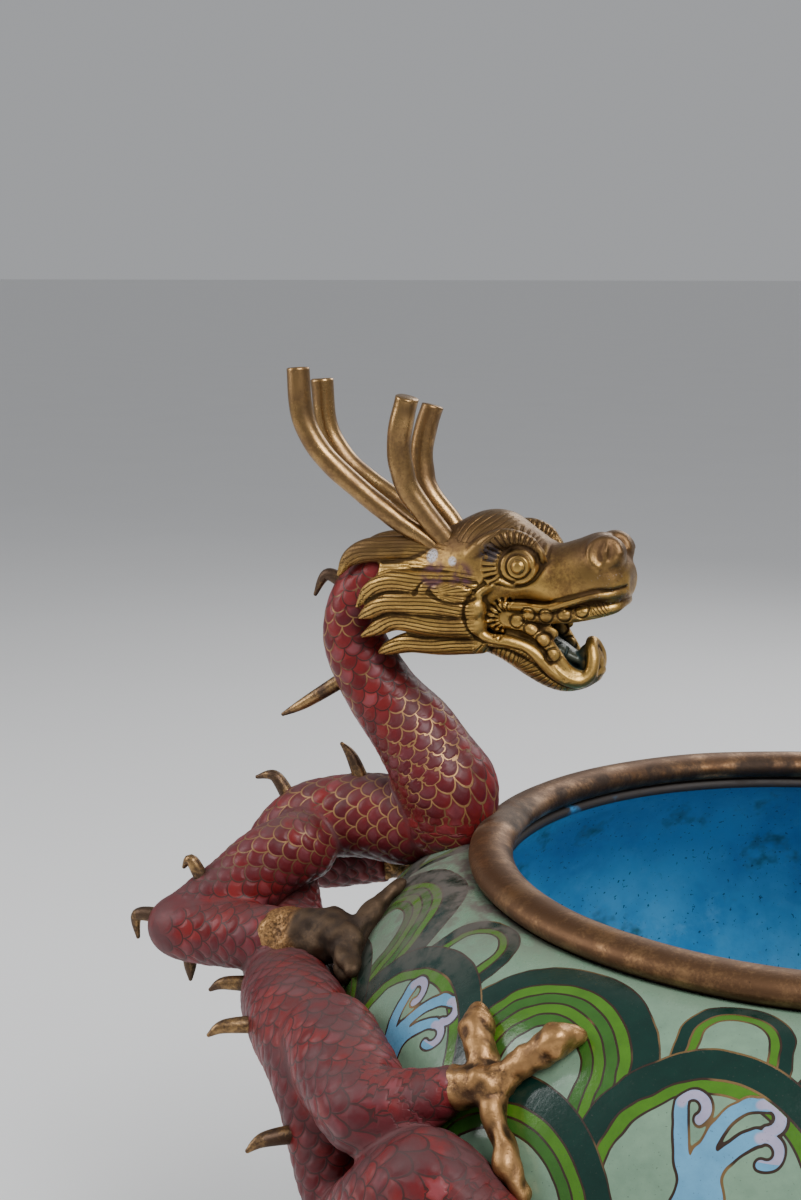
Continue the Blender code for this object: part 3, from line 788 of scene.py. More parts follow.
# %% [markdown]
# ## The feet
# No foot shows in the picture that we work from, so they are plain: a knee under the bowl, an ankle,
# and a flat pad. Two soft rings round the ankle are all the ornament they get. Their upper ends are
# pressed flat under the bowl's wall, as a foot is when it is fitted and brazed.

# %% Sweep the feet
FOOT_COUNT = 3
FIRST_FOOT = 90       # degrees round
foot_finish = plain_metal(
    "foot_gilt", (0.46, 0.29, 0.10), (0.15, 0.085, 0.04), (0.05, 0.03, 0.015),
    depth=0.0006, metallic=0.95, wear=0.51,
)
knee = FOOT_HEIGHT + BOWL_DEPTH * 0.05
foot_rows = [
    (-0.022, knee + 0.012, 0.0171), (-0.004, knee, 0.019), (0.003, FOOT_HEIGHT * 0.72, 0.0152),
    (0.0, FOOT_HEIGHT * 0.38, 0.0105), (0.0, FOOT_HEIGHT * 0.16, 0.015), (0.0, 0.0, 0.015),
]
underside = profile[profile[:, 0].argmax():][::-1]
for index in range(FOOT_COUNT):
    turn = math.radians(FIRST_FOOT + 360 / FOOT_COUNT * index)
    outward = np.array([-math.cos(turn), -math.sin(turn)])
    rows = [(*(outward * (FOOT_RADIUS + out)), level, size) for out, level, size in foot_rows]
    path = smooth_path(rows, 0.0012)
    height = path[:, 2] / FOOT_HEIGHT
    for level, width in ((0.40, 0.04), (0.50, 0.03)):
        path[:, 3] += 0.0012 * np.exp(-((height - level) / width) ** 2)
    foot = new_piece(f"cast_foot_{index + 1}", sweep(round_ends(path, at_end=False), 40))
    points = points_of(foot.data)
    wall_above = RIM_LEVEL + np.interp(np.hypot(*points.T[:2]), *underside.T)
    points[:, 2] = np.minimum(points[:, 2], wall_above + WALL * 0.4)
    move_points(foot.data, points)
    store(foot.data, "hollow", hollows(foot.data))
    store(foot.data, "place", points_of(foot.data) / MM)
    foot.data.materials.append(foot_finish)
    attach(foot, "root")
    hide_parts(f"foot_{index + 1}")
print("foot pads at mm:", round(FOOT_RADIUS * 1000))

# %% [markdown]
# ## Laying out a dragon
# The dragon is laid out in three sets of coordinates, as its maker would have held it. Free places are
# given as out from the rim, across, and up. Places on the bowl are degrees round, a level below the
# rim, and how far off the wall. The head has its own frame: forward, to the side, and up.

# %% Three ways to give a place
HEAD_OUT = 0.050      # from the rim to the head's own zero
HEAD_RISE = 0.104


def wall_at(level):
    """Radius of the wall at a level below the rim, and its outward direction."""
    rows = coarse_profile
    level = min(max(level, rows[-2, 1]), rows[0, 1])
    index = int(np.argmax(rows[1:, 1] <= level + 1e-9))
    upper, lower = rows[index], rows[index + 1]
    share = (upper[1] - level) / (upper[1] - lower[1])
    run = lower - upper
    return upper[0] + run[0] * share, unit(np.array([-run[1], run[0]]))


def free(out, across, up, radius=0.0):
    return (-MOUTH_RADIUS - out * MM, across * MM, RIM_LEVEL + up * MM, radius * MM)


def on_bowl(degrees, level, off, radius=0.0):
    distance, outward = wall_at(level * MM)
    distance += off * MM * outward[0]
    turn = math.radians(degrees)
    up = RIM_LEVEL + level * MM + off * MM * outward[1]
    return (-distance * math.cos(turn), -distance * math.sin(turn), up, radius * MM)


def on_head(forward, side, up, radius=0.0):
    out, rise = MOUTH_RADIUS + HEAD_OUT, RIM_LEVEL + HEAD_RISE
    return (forward * MM - out, side * MM, rise + up * MM, radius * MM)


print("head's place in mm:", [round(value / MM) for value in on_head(0, 0, 0)[:3]])

# %% The trunk and the limbs
NECK = [
    (22, 0, 103, 9.5), (36, 0, 104, 10.5), (48, 0, 104, 11), (57, 0, 96, 11.5), (60.5, 0, 84, 12.5),
    (58, 0, 70, 14), (46, 0, 52, 15.8), (28, -1, 31, 19), (16, -2, 13, 21.5), (15, -3, 1, 19.5),
]
ARCH = [
    (22, 3, -2, 17.5), (37, 2, -4, 19.5), (62, 0, -4, 18), (82, 0, -9, 16.5), (94, -2, -24, 17),
    (92, -9, -41, 17.5), (86, -19, -55, 18), (77, -38, -62, 18.5),
]
COIL = [
    (15.5, -65.5, 17, 19), (22, -61, 17, 19.5), (29.5, -57.5, 15, 20), (36.5, -58.5, 15, 18.5),
    (41, -67, 13.4, 16), (44.6, -83, 11, 13.5), (48.1, -97, 10, 12.5), (54, -113, 10, 12),
    (62, -125, 9.5, 11.5), (73, -128, 9, 10), (85, -117, 8, 8.5), (95, -113, 7, 7), (106, -126, 5, 4.2),
]
UPPER_ARM = [
    (78, -20, -14, 16), (90, -28, -21, 16), (101, -37, -31, 15.5), (116, -47, -42, 14.5), (121, -50, -45, 14),
]
FOREARM = [(122, -50, -45, 14), (115, -52, -45, 14.2), (92, -55, -44, 13.8), (67, -60, -41, 13)]
HIND_LEG = [
    (38, -58, 13, 15), (40, -52, 15, 17.5), (51, -56, 15.5, 17), (55.5, -49, 10, 11), (58.5, -40, 6.5, 6.8),
]
HAUNCH = [
    (50, -100, 12, 13), (55, -82, 14, 16.5), (61, -67, 15.5, 18), (66.5, -71, 12, 13.5), (71.5, -75, 8.5, 8),
]


def path_lengths(path):
    """How far along a path each of its rows lies."""
    steps = np.linalg.norm(np.diff(path[:, :3], axis=0), axis=1)
    return np.concatenate([[0], np.cumsum(steps)])


# Each tube has its stations, and the way that the middle of its scales faces.
tubes = {
    "neck": ([free(*row) for row in NECK], (0, -1, 0)),
    "trunk": ([free(*row) for row in ARCH] + [on_bowl(*row) for row in COIL], "outward"),
}
for side, way in (("near", 1), ("far", -1)):
    for limb, rows in (("upper_arm", UPPER_ARM), ("forearm", FOREARM)):
        stations = [free(out, way * across, up, radius) for out, across, up, radius in rows]
        tubes[f"{side}_{limb}"] = (stations, (0, -way, 0.4))
for limb, rows in (("hind_leg", HIND_LEG), ("haunch", HAUNCH)):
    tubes[limb] = ([on_bowl(*row) for row in rows], "outward")
paths = {name: smooth_path(stations, 0.003) for name, (stations, _) in tubes.items()}
print("trunk length in mm:", round(path_lengths(paths["trunk"])[-1] / MM))

# %% [markdown]
# ## The scaled body
# The limbs are swept, fused with the trunk in one even skin, and then covered with scales. A scale
# needs to know where it is: how far along its limb, and how far round. So every point finds the
# nearest limb and stores both. The same numbers then raise each scale a little in the mesh, and
# draw its wire and its colour in the finish.

# %% Fuse the body
BODY_VOXEL = 0.00132

body_skins = []
for name, path in paths.items():
    path = round_ends(path, at_start=name != "neck", at_end=name in ("neck", "trunk"))
    body_skins.append(sweep(path, 28))
body = even_skin("scaled_body", body_skins, BODY_VOXEL, 3)
print("body points:", len(body.data.vertices))

# %% Find each point's place on its limb
CHUNK = 4000          # points that are compared at one time, to save memory


def limb_places(points):
    """Along, and the two parts of the direction round, in mm, and the gap to the next limb."""
    rows, guides, starts, along = [], [], [], []
    for name, path in paths.items():
        starts.append(sum(len(row) for row in rows))
        rows.append(path)
        hint = tubes[name][1]
        if isinstance(hint, str):
            flat = unit(path[:, :3] * (1, 1, 0))
            hint = flat + (0, 0, 0.9)
        ways = headings(path)
        hint = np.broadcast_to(np.asarray(hint, float), ways.shape)
        guides.append(unit(hint - ways * (hint * ways).sum(1, keepdims=True)))
        along.append(path_lengths(path) + 0.137 * len(along))
    ways = np.vstack([headings(row) for row in rows])
    rows, guides, along = np.vstack(rows), np.vstack(guides), np.concatenate(along)
    ends = np.array(starts[1:] + [len(rows)]) - 1
    result = np.zeros((len(points), 4))
    for start in range(0, len(points), CHUNK):
        some = points[start:start + CHUNK]
        off = np.linalg.norm(some[:, None] - rows[None, :, :3], axis=2) - rows[:, 3]
        per_limb = np.sort(np.minimum.reduceat(off, starts, axis=1), axis=1)
        near = off.argmin(1)
        forward = ((some - rows[near, :3]) * ways[near]).sum(1)
        limb = np.searchsorted(ends, near)
        first, last = np.array(starts)[limb], ends[limb]
        other = np.clip(near + np.where(forward >= 0, 1, -1), first, last)
        back = -((some - rows[other, :3]) * ways[other]).sum(1) * np.sign(forward)
        beyond = other == near
        whole = np.maximum(np.abs(forward) + np.abs(back), 1e-9)
        share = np.where(beyond, 0, np.abs(forward) / whole)[:, None]
        centre = rows[near, :3] * (1 - share) + rows[other, :3] * share
        guide = unit(guides[near] * (1 - share) + guides[other] * share)
        way = unit(ways[near] * (1 - share) + ways[other] * share)
        off_centre = some - centre
        reach = along[near] * (1 - share[:, 0]) + along[other] * share[:, 0]
        result[start:start + CHUNK] = np.column_stack([
            reach + np.where(beyond, forward * 1.3, 0), (off_centre * guide).sum(1),
            (off_centre * np.cross(way, guide)).sum(1), per_limb[:, 1] - per_limb[:, 0],
        ])
    return result / MM

# %% Raise the scales
SCALE_WIDTH = 8.6     # mm across a scale
SCALE_ROW = 4.7       # mm from row to row


def scale_height(along, toward, aside):
    """The pillow of each scale, 0 at its wire and 1 in its middle."""
    radius = np.hypot(toward, aside)
    across = np.arctan2(aside, toward) * radius / SCALE_WIDTH
    row = np.floor(along / SCALE_ROW)
    ahead = along / SCALE_ROW - row
    shift = np.mod(row, 2) * 0.5
    own = 2 * (across - shift - np.round(across - shift))
    next_one = 2 * (across - 0.5 + shift - np.round(across - 0.5 + shift))
    to_own = np.hypot(own, ahead)
    to_next = np.hypot(next_one, ahead - 1)
    to_last = np.hypot(next_one, ahead + 1)
    own_pillow = np.minimum(1 - to_own, to_last - 1)
    next_pillow = np.minimum(1 - to_next, to_own - 1)
    return np.clip(np.where(to_own < 1, own_pillow, next_pillow) / 0.4, 0, 1)


crease = np.clip(limb_places(points_of(body.data))[:, 3] / 9, 0, 1)
soften(body.data, (1 - crease) * 0.8, 14)
places = limb_places(points_of(body.data))
height = scale_height(*places.T[:3])
points = points_of(body.data)
crease = np.clip(places[:, 3] / 6, 0, 1)
level = (points[:, 2] - RIM_LEVEL) / MM
on_neck = np.clip((level - 14) / 18, 0, 1)
swelling = height ** 0.7 * (0.42 - 0.28 * on_neck) * crease + lumps(points, 0.030) * 0.35
points += normals_of(body.data) * (swelling * MM)[:, None]
move_points(body.data, points)
store(body.data, "limb", places[:, :3])
store(body.data, "crease", crease)
store(body.data, "place", points / MM)
print("scale rows along the trunk:", round(places[:, 0].max() / SCALE_ROW))

# %% [markdown]
# The red finish repeats the arithmetic of the scales with nodes. Each scale gets its own shade by
# chance. Some scales are pink by chance, and the pink sits on the middle of each dome as a painted
# highlight. The wires are bright on the neck and the elbow, where hands have rubbed them, and
# dark elsewhere. Grey dust lies on what faces up and in the creases.

# %% Red enamel
DARK_RED = (0.105, 0.007, 0.008)
BRIGHT_RED = (0.215, 0.018, 0.017)
PINK_TONE_AND_HIGHLIGHT = (0.270, 0.085, 0.100)
WINE_RED = (0.080, 0.011, 0.017)
DARK_WIRE = (0.035, 0.014, 0.012)
GOLD_WIRE = (0.420, 0.240, 0.095)
GREY_DUST = (0.088, 0.062, 0.060)
BROWN_FILM = (0.075, 0.028, 0.030)

red, red_shader = new_finish("red_scale_enamel")
place = stored(red, "place")
along, toward, aside = stored(red, "limb").parts()
crease = stored(red, "crease", vector=False)
across = aside.maths("ARCTAN2", toward) * length(toward, aside) / SCALE_WIDTH
rows_along = along / SCALE_ROW
row = rows_along.maths("FLOOR")
ahead = rows_along - row
shift = row.maths("FLOORED_MODULO", 2.0) * 0.5
own_column = (across - shift).maths("ROUND")
own = (across - shift - own_column) * 2.0
next_column = (across - 0.5 + shift).maths("ROUND")
next_one = (across - 0.5 + shift - next_column) * 2.0
to_own = length(own, ahead)
to_next = length(next_one, ahead - 1.0)
to_last = length(next_one, ahead + 1.0)
in_own = to_own < 1.0
pillow = in_own.pick((1.0 - to_next).least(to_own - 1.0), (1.0 - to_own).least(to_last - 1.0))
scale_name = in_own.pick(next_column * 5.13 + row * 2.71 + 2.71, own_column * 5.13 + row * 2.71)
chance = dice(scale_name)
off_seam = crease.step(0.14, 0.30)
wire = pillow.step(0.080, 0.045) * off_seam
swell = pillow.step(0.0, 0.42) * off_seam

cloud = noise(place, 0.035, 4.0, 0.6)
grain = noise(place, 0.7, 3.0, 0.6)
paint = chance.tint(DARK_RED, BRIGHT_RED)
# Some scales chosen by chance are pink; the pink sits on their domes as a painted highlight.
pink_and_highlight = (chance * 7.0).maths("FRACT").step(0.70, 0.95) * 0.50 * swell
paint = pink_and_highlight.tint(paint, PINK_TONE_AND_HIGHLIGHT)
paint = (cloud.step(0.40, 0.58) * 0.65).tint(paint, WINE_RED)
_, _, height = place.parts()
polished = cloud.step(0.42, 0.56) * height.step(262.0, 296.0)
paint = (wire * 0.9).tint(paint, polished.tint(DARK_WIRE, GOLD_WIRE))
facing = red.node("NewGeometry", None, None, "Normal").parts()[2]
dust_cloud = noise(place, 0.07, 5.0, 0.65)
dust = (facing * 0.50 + dust_cloud - 0.10).step(0.54, 1.04) * 0.75
dust = dust.most(crease.step(0.6, 0.0) * dust_cloud.step(0.30, 0.62) * 0.6)
paint = (dust * 0.8).tint(paint, GREY_DUST)
low = height.step(262.0, 225.0) * dust_cloud.step(0.36, 0.60)
paint = (low * 0.45).tint(paint, BROWN_FILM)
roughness = dust * 0.32 + grain * 0.16 + low * 0.14 + 0.31
relief = swell * 0.5 + wire * 0.15 + grain * 0.14 + cloud * 0.5
red_finish = set_finish(
    red_shader, {"Base Color": paint, "Roughness": roughness, "Metallic": wire * polished * 0.7},
    bump=(relief, 0.0004), Coat_Weight=0.03, Coat_Roughness=0.25, Specular_IOR_Level=0.24,
)
body.data.materials.append(red_finish)
print("red finish nodes:", len(red.tree.nodes))

# %% [markdown]
# ## The head
# The head is one casting. Upright oval sections make the skull and the jaw, as a ship's ribs make a
# hull, and swept tubes make the locks of the mane. They are fused like the body, and carved after.

# %% Sections of the skull and the jaw
HEAD_STEP = 0.0012    # from ring to ring along the head's tubes

# Each row is forward, the section's bottom and top, and half its width.
SKULL = [
    (6, -18, 13.5, 15), (20, -22, 15.5, 18.5), (34, -24, 23, 20.5), (48, -23, 30, 21.5),
    (60, -15, 30, 20.5), (71, -10.5, 23, 18), (80, -12.5, 18, 16), (88, -13, 20, 16),
    (99, -11.5, 23.5, 16), (107, -8, 17, 14), (112, -1, 10, 8.5),
]
JAW = [
    (46, -27, -14, 16.5), (58, -31, -16, 17), (69, -38, -16.5, 16), (78, -42.5, -20, 15),
    (86, -43.5, -31, 14), (94, -41.5, -34.5, 12), (99.5, -38, -27, 8),
]


def loft(sections, sides=48):
    turns = (np.arange(sides) + 0.5) * 2 * math.pi / sides
    rings = []
    for forward, bottom, top, half_width in smooth_path(np.array(sections) * MM, HEAD_STEP):
        middle, half_height = (top + bottom) / 2, (top - bottom) / 2
        out, _, level, _ = on_head(forward / MM, 0, middle / MM)
        upward = level + half_height * np.sin(turns)
        rings.append(np.column_stack([np.full(sides, out), half_width * np.cos(turns), upward]))
    return np.vstack(rings), ring_faces(len(rings), sides)


print("skull sections:", len(SKULL), "jaw sections:", len(JAW))

# %% Locks of the mane and the face's round parts
LOCKS = [
    [(34, 8, 13, 6), (6, 10, 13, 5.6), (-7, 10, 9, 4), (-13, 10, 1, 1)],
    [(49, 18.5, 0, 5.4), (30, 20, 1, 5.8), (14, 19.5, 0.5, 5), (4, 18, -4, 3.6), (-2, 17, -11, 0.8)],
    [(50, 19.5, -8, 5.8), (30, 21, -7, 5.8), (15, 20.5, -7.5, 5), (5, 18.5, -12, 3.6), (-1, 17, -15.5, 1)],
    [(50, 19, -15, 5.8), (32, 20, -15, 5.8), (17, 19, -14.5, 5), (8, 17.5, -19, 3.5), (0, 16, -23.5, 1)],
    [(52, 16, -22, 5.5), (36, 17, -23.5, 5.5), (22, 16.5, -24.5, 4.6), (12, 15, -28, 3.2), (7, 14, -30.5, 1)],
]
HAIR_SHEET = [(54, 18, -8, 14), (42, 19, -8, 15), (28, 19.2, -8, 14.5), (19, 18.5, -9, 11)]
LIP_ROLL = [
    (57.5, 19.5, 2.4, 2), (52.5, 20, -1.2, 2.3), (49.8, 20.2, -5.5, 2.4), (49.4, 20, -11.5, 2.5),
    (51.5, 19.5, -17, 2.5), (57, 18.8, -20.6, 2.7), (65, 17.5, -21.5, 2.9), (73, 16.2, -24.4, 3.1),
    (80, 15, -30, 3.1), (86, 13.5, -35, 3), (92.5, 10.5, -37.3, 2.8), (96.5, 8, -34.5, 2.8),
    (97.4, 6, -29, 2.8), (96, 3.4, -24, 2.6), (95.3, 0, -22.4, 2.6),
]
JAW_EDGE = [
    (62, 14.5, -13.5, 3), (70, 14.2, -15, 3), (78, 13.6, -20, 3), (83, 12.6, -26.5, 3), (88, 11, -33, 2.8),
    (94, 8, -35.5, 2.5), (98, 4, -34.5, 2.4), (99, 0, -34, 2.4),
]
UPPER_GUM = [
    (64, 14.5, -9, 3), (76, 14, -10, 3.3), (88, 13, -9.6, 3.2), (98, 12, -7.8, 3), (106, 9.5, -6, 2.5),
    (108.5, 5, -4.5, 2.2), (109, 0, -4, 2.2),
]
CHEEK = [(60, 15, -12, 6), (68, 14, -13.5, 6), (76, 13, -16, 5), (82, 12.4, -17.5, 2.5)]
UPPER_LIP = [
    (62, 18.2, -6, 1.5), (71, 17.5, -6.2, 1.7), (80, 16.5, -6.6, 1.7), (89, 15.8, -3.8, 1.7),
    (99, 15, -0.6, 1.7), (106, 12.3, 0, 1.6), (110, 8, 0.8, 1.4),
]
BROW = [
    (44, 16.5, 9, 2.5), (52, 17.5, 17, 3.6), (62, 17.5, 21.5, 4), (72, 15.5, 19.5, 3.2), (78, 14, 13, 1.6),
]
TONGUE = [(58, 0, -16, 8), (70, 0, -20, 8), (80, 0, -25, 6.5), (88, 0, -29, 5), (93, 0, -31, 3)]
EYE_BALL = (69.5, 14.5, 10.2, 7.5)
NOSE_BALL = (102.5, 7.6, 15.5, 8.2)
CHIN_BALLS = [(94.6, 0, -27.5, 4.6), (95.5, 0, -31.5, 5.5)]
HEAD_VOXEL = 0.00066


def both_sides(rows):
    """The path of a tube on the right side of the head, and on the left."""
    for side in (-1, 1):
        stations = [on_head(forward, side * out, up, radius) for forward, out, up, radius in rows]
        yield smooth_path(stations, HEAD_STEP)


def ball(forward, out, up, radius):
    """A ball, as the rings of two domes."""
    path = [on_head(forward + shift, out, up, radius) for shift in (-0.02, 0.02)]
    return sweep(round_ends(np.array(path)), 32)


head_skins = [loft(SKULL), loft(JAW)]
lock_paths = [path for lock in LOCKS for path in both_sides(lock)]
for path in lock_paths:
    head_skins.append(sweep(round_ends(path), 20, flat=0.8))
for path in both_sides(HAIR_SHEET):
    head_skins.append(sweep(path, 24, flat=0.28))
for path in both_sides(CHEEK):
    head_skins.append(sweep(round_ends(path), 20, flat=0.45))
for rows in (LIP_ROLL, JAW_EDGE, UPPER_GUM, UPPER_LIP):
    for path in both_sides(rows):
        head_skins.append(sweep(round_ends(path), 18))
for side, brow_path in zip((-1, 1), both_sides(BROW)):
    for forward, out, up, radius in (EYE_BALL, NOSE_BALL):
        head_skins.append(ball(forward, side * out, up, radius))
    head_skins.append(sweep(round_ends(brow_path), 16))
tongue_path, _ = both_sides(TONGUE)
head_skins.append(sweep(round_ends(tongue_path), 20, flat=0.5, flat_way=(0, 0, 1)))
head_skins += [ball(*place) for place in CHIN_BALLS]
head = even_skin("cast_head", head_skins, HEAD_VOXEL, 3)
print("head points:", len(head.data.vertices))

# %% [markdown]
# The lips, the folds, the teeth, the rings round the eye, the nostrils and the ear are cut in the
# mesh. Their lines are lists of places on the side of the head: forward and up, in millimetres. One
# function finds how far each point is from a line, and the shape of the cut follows from that
# distance. A bell curve makes a rounded ridge, and one below zero makes a groove. Pleats and rings
# are a cosine of the angle round a centre, or of the distance from it.

# %% Distances from lines on the side of the head
def to_line(places, line):
    """Distance of each place from a run of straight strokes, and how far along the line it is."""
    line = np.asarray(line, float)
    nearest = np.full(len(places), 1e9)
    along = np.zeros(len(places))
    done = 0.0
    for start, end in zip(line, line[1:]):
        run = end - start
        size = np.hypot(*run)
        share = np.clip(((places - start) @ run) / size**2, 0, 1)
        gap = np.linalg.norm(places - start - share[:, None] * run, axis=1)
        closer = gap < nearest
        nearest[closer] = gap[closer]
        along[closer] = done + share[closer] * size
        done += size
    return nearest, along


def curve(points, step=1.0):
    rows = np.column_stack([np.asarray(points, float), np.zeros((len(points), 2))])
    return smooth_path(rows, step)[:, :2]


def bell(gap, width):
    return np.exp(-((gap / width) ** 2))


# %% Carve the face
LIP_OUTER = curve([
    (64, -4.6), (71.5, -4.6), (80, -5), (88.6, -2.2), (99.6, 1.4), (107, 2), (113, 3.5),
])
LIP_FOLD = curve([
    (57.8, 5), (51.9, 0.4), (48.1, -4.4), (47.3, -11), (49.5, -17.2), (54.6, -21.6), (64, -23.8),
    (70.8, -24.8), (74.8, -28.4), (79.1, -34), (85.6, -39), (92.3, -41.2), (99, -38.5),
])
LIP_INNER = curve([
    (60.5, -9), (58, -12), (59.6, -16), (66, -16.8), (72, -18), (78, -23), (83, -30), (88, -36),
])
EYE_CENTRE = np.array([69.1, 10.5])
EYE_LOOP = curve([
    (56, 4), (61, 4.2), (66.3, 2.6), (72.3, 4.6), (76.9, 10), (77.7, 16.4), (76, 23), (71, 28),
])
NOSTRIL = np.array([103.3, 17.8])
MOUTH_CORNER = np.array([63.9, -11.7])
TEETH = [
    (73.0, -9.2), (80.2, -9.6), (87.6, -8.8), (94.6, -6.8),
    (68.0, -12.5), (74.0, -15.5), (79.0, -20.0), (83.0, -26.0),
]
EAR_GROOVE = curve([(26, -2.5), (31, 3.5), (44, 4), (52, 3)])
PLEAT_ANGLE = 19.0    # degrees from pleat to pleat round the mouth's corner
FAN_ANGLE = 10.4      # degrees from rib to rib of the brow

origin = np.array(on_head(0, 0, 0)[:3])
local = (points_of(head.data) - origin) / MM
on_nose = np.clip((local[:, 0] - 80) / 6, 0, 1) * np.clip((local[:, 2] - 4) / 4, 0, 1)
soften(head.data, on_nose * 0.8, 12)
points = points_of(head.data)
normals = normals_of(head.data)
local = (points - origin) / MM
side_view = local[:, [0, 2]]
sideways = np.clip((np.abs(normals[:, 1]) - 0.15) / 0.4, 0, 1)
cut = np.zeros(len(points))


def along_line(line, width):
    """A rounded ridge along a line, 1 high."""
    return bell(to_line(side_view, line)[0], width)


def from_centre(centre):
    """Distance from a place on the side of the head, and the angle there in degrees."""
    gap = side_view - centre
    return np.hypot(*gap.T), np.degrees(np.arctan2(gap[:, 1], gap[:, 0])) % 360


def between(values, low, high, soft):
    """1 between two values, with soft edges, and 0 outside them."""
    return np.clip((values - low) / soft, 0, 1) * np.clip((high - values) / soft, 0, 1)


cut -= 0.9 * along_line(LIP_OUTER, 0.7)
cut -= 1.1 * along_line(LIP_FOLD, 0.8)
cut -= 0.7 * along_line(LIP_INNER, 0.7)
cut += 0.6 * along_line(EYE_LOOP, 0.8) - 0.5 * bell(to_line(side_view, EYE_LOOP)[0] - 1.36, 0.48)
from_corner, corner_angle = from_centre(MOUTH_CORNER)
pleats = between(from_corner, 3.2, 9.2, 1.0) * between(corner_angle, 66, 262, 8)
cut += 0.42 * np.cos(corner_angle / PLEAT_ANGLE * 2 * math.pi) * pleats
from_eye, eye_angle = from_centre(EYE_CENTRE)
rings = 0.45 * np.cos((np.maximum(from_eye, 1.9) - 1.9) / 2.3 * 2 * math.pi) - 0.1
cut += rings * np.clip((7.5 - from_eye) / 0.8, 0, 1) - 0.9 * bell(from_eye - 8.1, 0.7)
brow_fan = between(from_eye, 9.0, 15.5, 1.0) * between(eye_angle, 55, 222, 6)
cut += 0.38 * np.cos(eye_angle / FAN_ANGLE * 2 * math.pi) * brow_fan
for tooth in TEETH:
    cut += 0.6 * bell(from_centre(tooth)[0], 2.0)
from_nostril, nostril_angle = from_centre(NOSTRIL)
cut += 0.9 * bell(from_nostril - 7.0, 1.4) * (np.abs(nostril_angle - 300) > 45)
cut -= 1.9 * np.exp(-((from_nostril / 5.0) ** 6))
cut += 1.5 * bell(side_view[:, 0] - NOSTRIL[0] - 0.4, 1.3) * bell(side_view[:, 1] - NOSTRIL[1], 4.0)
ear = (side_view - (42, -1.2)) @ np.array([[0.995, 0.10], [-0.10, 0.995]])
ear_edge = np.hypot(ear[:, 0] / 9.0, ear[:, 1] / 4.0)
cut += 0.9 * between(ear_edge, -1, 1, 0.2) - 0.6 * bell((ear_edge - 1.1) * 4, 0.6)
cut -= 0.8 * along_line(EAR_GROOVE, 0.8)
print("deepest cut in mm:", round(float((cut * sideways).min()), 2))

# %% [markdown]
# Hairs and engraved lines are finer than the mesh. So each point stores two numbers for them, a turn
# and a depth, and the finish draws a groove wherever the turn reaches a whole number. The crown, the
# brow, the pleats, the folds, the teeth and the ear come first, and then the mane, where the turn is
# how high a point lies on its lock.

# %% Lay out the fine lines
line_turn = np.zeros(len(points))
line_depth = np.zeros(len(points))


def add_lines(turn, depth):
    """Store a turn and a depth where the depth is above zero; later lines lie on top."""
    chosen = depth > 0.02
    line_turn[chosen] = turn[chosen]
    line_depth[chosen] = depth[chosen]


crown = between(side_view[:, 0], 40, 82, 3) * np.clip((side_view[:, 1] - 18) / 3, 0, 1)
add_lines(from_eye / 2.4 + 0.3 * np.sin(eye_angle / 9), crown * 0.45)
add_lines(eye_angle / FAN_ANGLE + 0.5, brow_fan)
add_lines(corner_angle / PLEAT_ANGLE + 0.5, pleats)
gap, along = to_line(side_view, LIP_FOLD)
below = np.clip((-22 - side_view[:, 1]) / 2, 0, 1) * np.clip((side_view[:, 0] - 50) / 3, 0, 1)
outside_lip = side_view[:, 1] < np.interp(side_view[:, 0], LIP_FOLD[12:, 0], LIP_FOLD[12:, 1]) - 0.4
add_lines(along / 1.9 + gap * 0.12, between(gap, 0.2, 7.5, 1.2) * below * outside_lip * 0.8)
for tooth in TEETH:
    from_tooth, _ = from_centre(tooth)
    add_lines(from_tooth / 2.9, between(from_tooth, 1.2, 3.9, 0.6))
fang = between(side_view[:, 0], 98.5, 105, 0.8) * between(side_view[:, 1], -9.5, -3, 0.8)
add_lines((side_view[:, 0] + side_view[:, 1] * 0.8) / 1.6, fang * 0.9)
ear_fan, ear_angle = from_centre(np.array([31.0, -2.0]))
add_lines(ear_angle / 5.5, between(ear_edge, -1, 0.95, 0.15) * np.clip((ear_fan - 6) / 3, 0, 1) * 0.9)
line_depth *= sideways
print("points with fine lines:", int((line_depth > 0).sum()))

# %% Comb the mane
MANE_END = 52         # mm forward, where the hair meets the cheek

numbered = [np.column_stack([path, np.full(len(path), index)]) for index, path in enumerate(lock_paths)]
lock_rows = np.vstack(numbered)
mane = np.where((local[:, 0] < MANE_END) & (local[:, 2] < 20) & (line_depth < 0.1))[0]
for start in range(0, len(mane), CHUNK):
    some = mane[start:start + CHUNK]
    gap = np.linalg.norm(points[some][:, None] - lock_rows[None, :, :3], axis=2) - lock_rows[:, 3]
    near = gap.argmin(1)
    row = lock_rows[near]
    lift = (points[some, 2] - row[:, 2]) / MM
    forward = local[some, 0]
    waves = 0.24 * np.sin(forward * 0.21 + row[:, 4]) + 0.04 * np.sin(forward * 0.61 + lift)
    line_turn[some] = lift / 1.6 + waves + 0.25
    reach = np.clip(1 - gap.min(1) / 0.0030, 0, 1) * np.clip((MANE_END - forward) / 3, 0, 1)
    line_depth[some] = reach * np.where(row[:, 4] < 2, 0.45, 1.0)
print("points in the mane:", len(mane))

# %% Cut the head and store what its finish needs
points += normals * (cut * sideways * MM)[:, None]
move_points(head.data, points)
soften(head.data, 0.25, 1)
store(head.data, "hollow", hollows(head.data))
store(head.data, "lines", np.column_stack([line_turn, line_depth, line_depth * 0]))
store(head.data, "place", (points_of(head.data) - origin) / MM)
print("head's highest point in mm:", round(points[:, 2].max() / MM))

# %% [markdown]
# The head's gilding is bright on the mane and the lips, and brown on top. Where a horn is soldered in,
# a purple and red bloom has come up, with crumbs of white corrosion. The inside of the mouth keeps
# a dark teal paint.

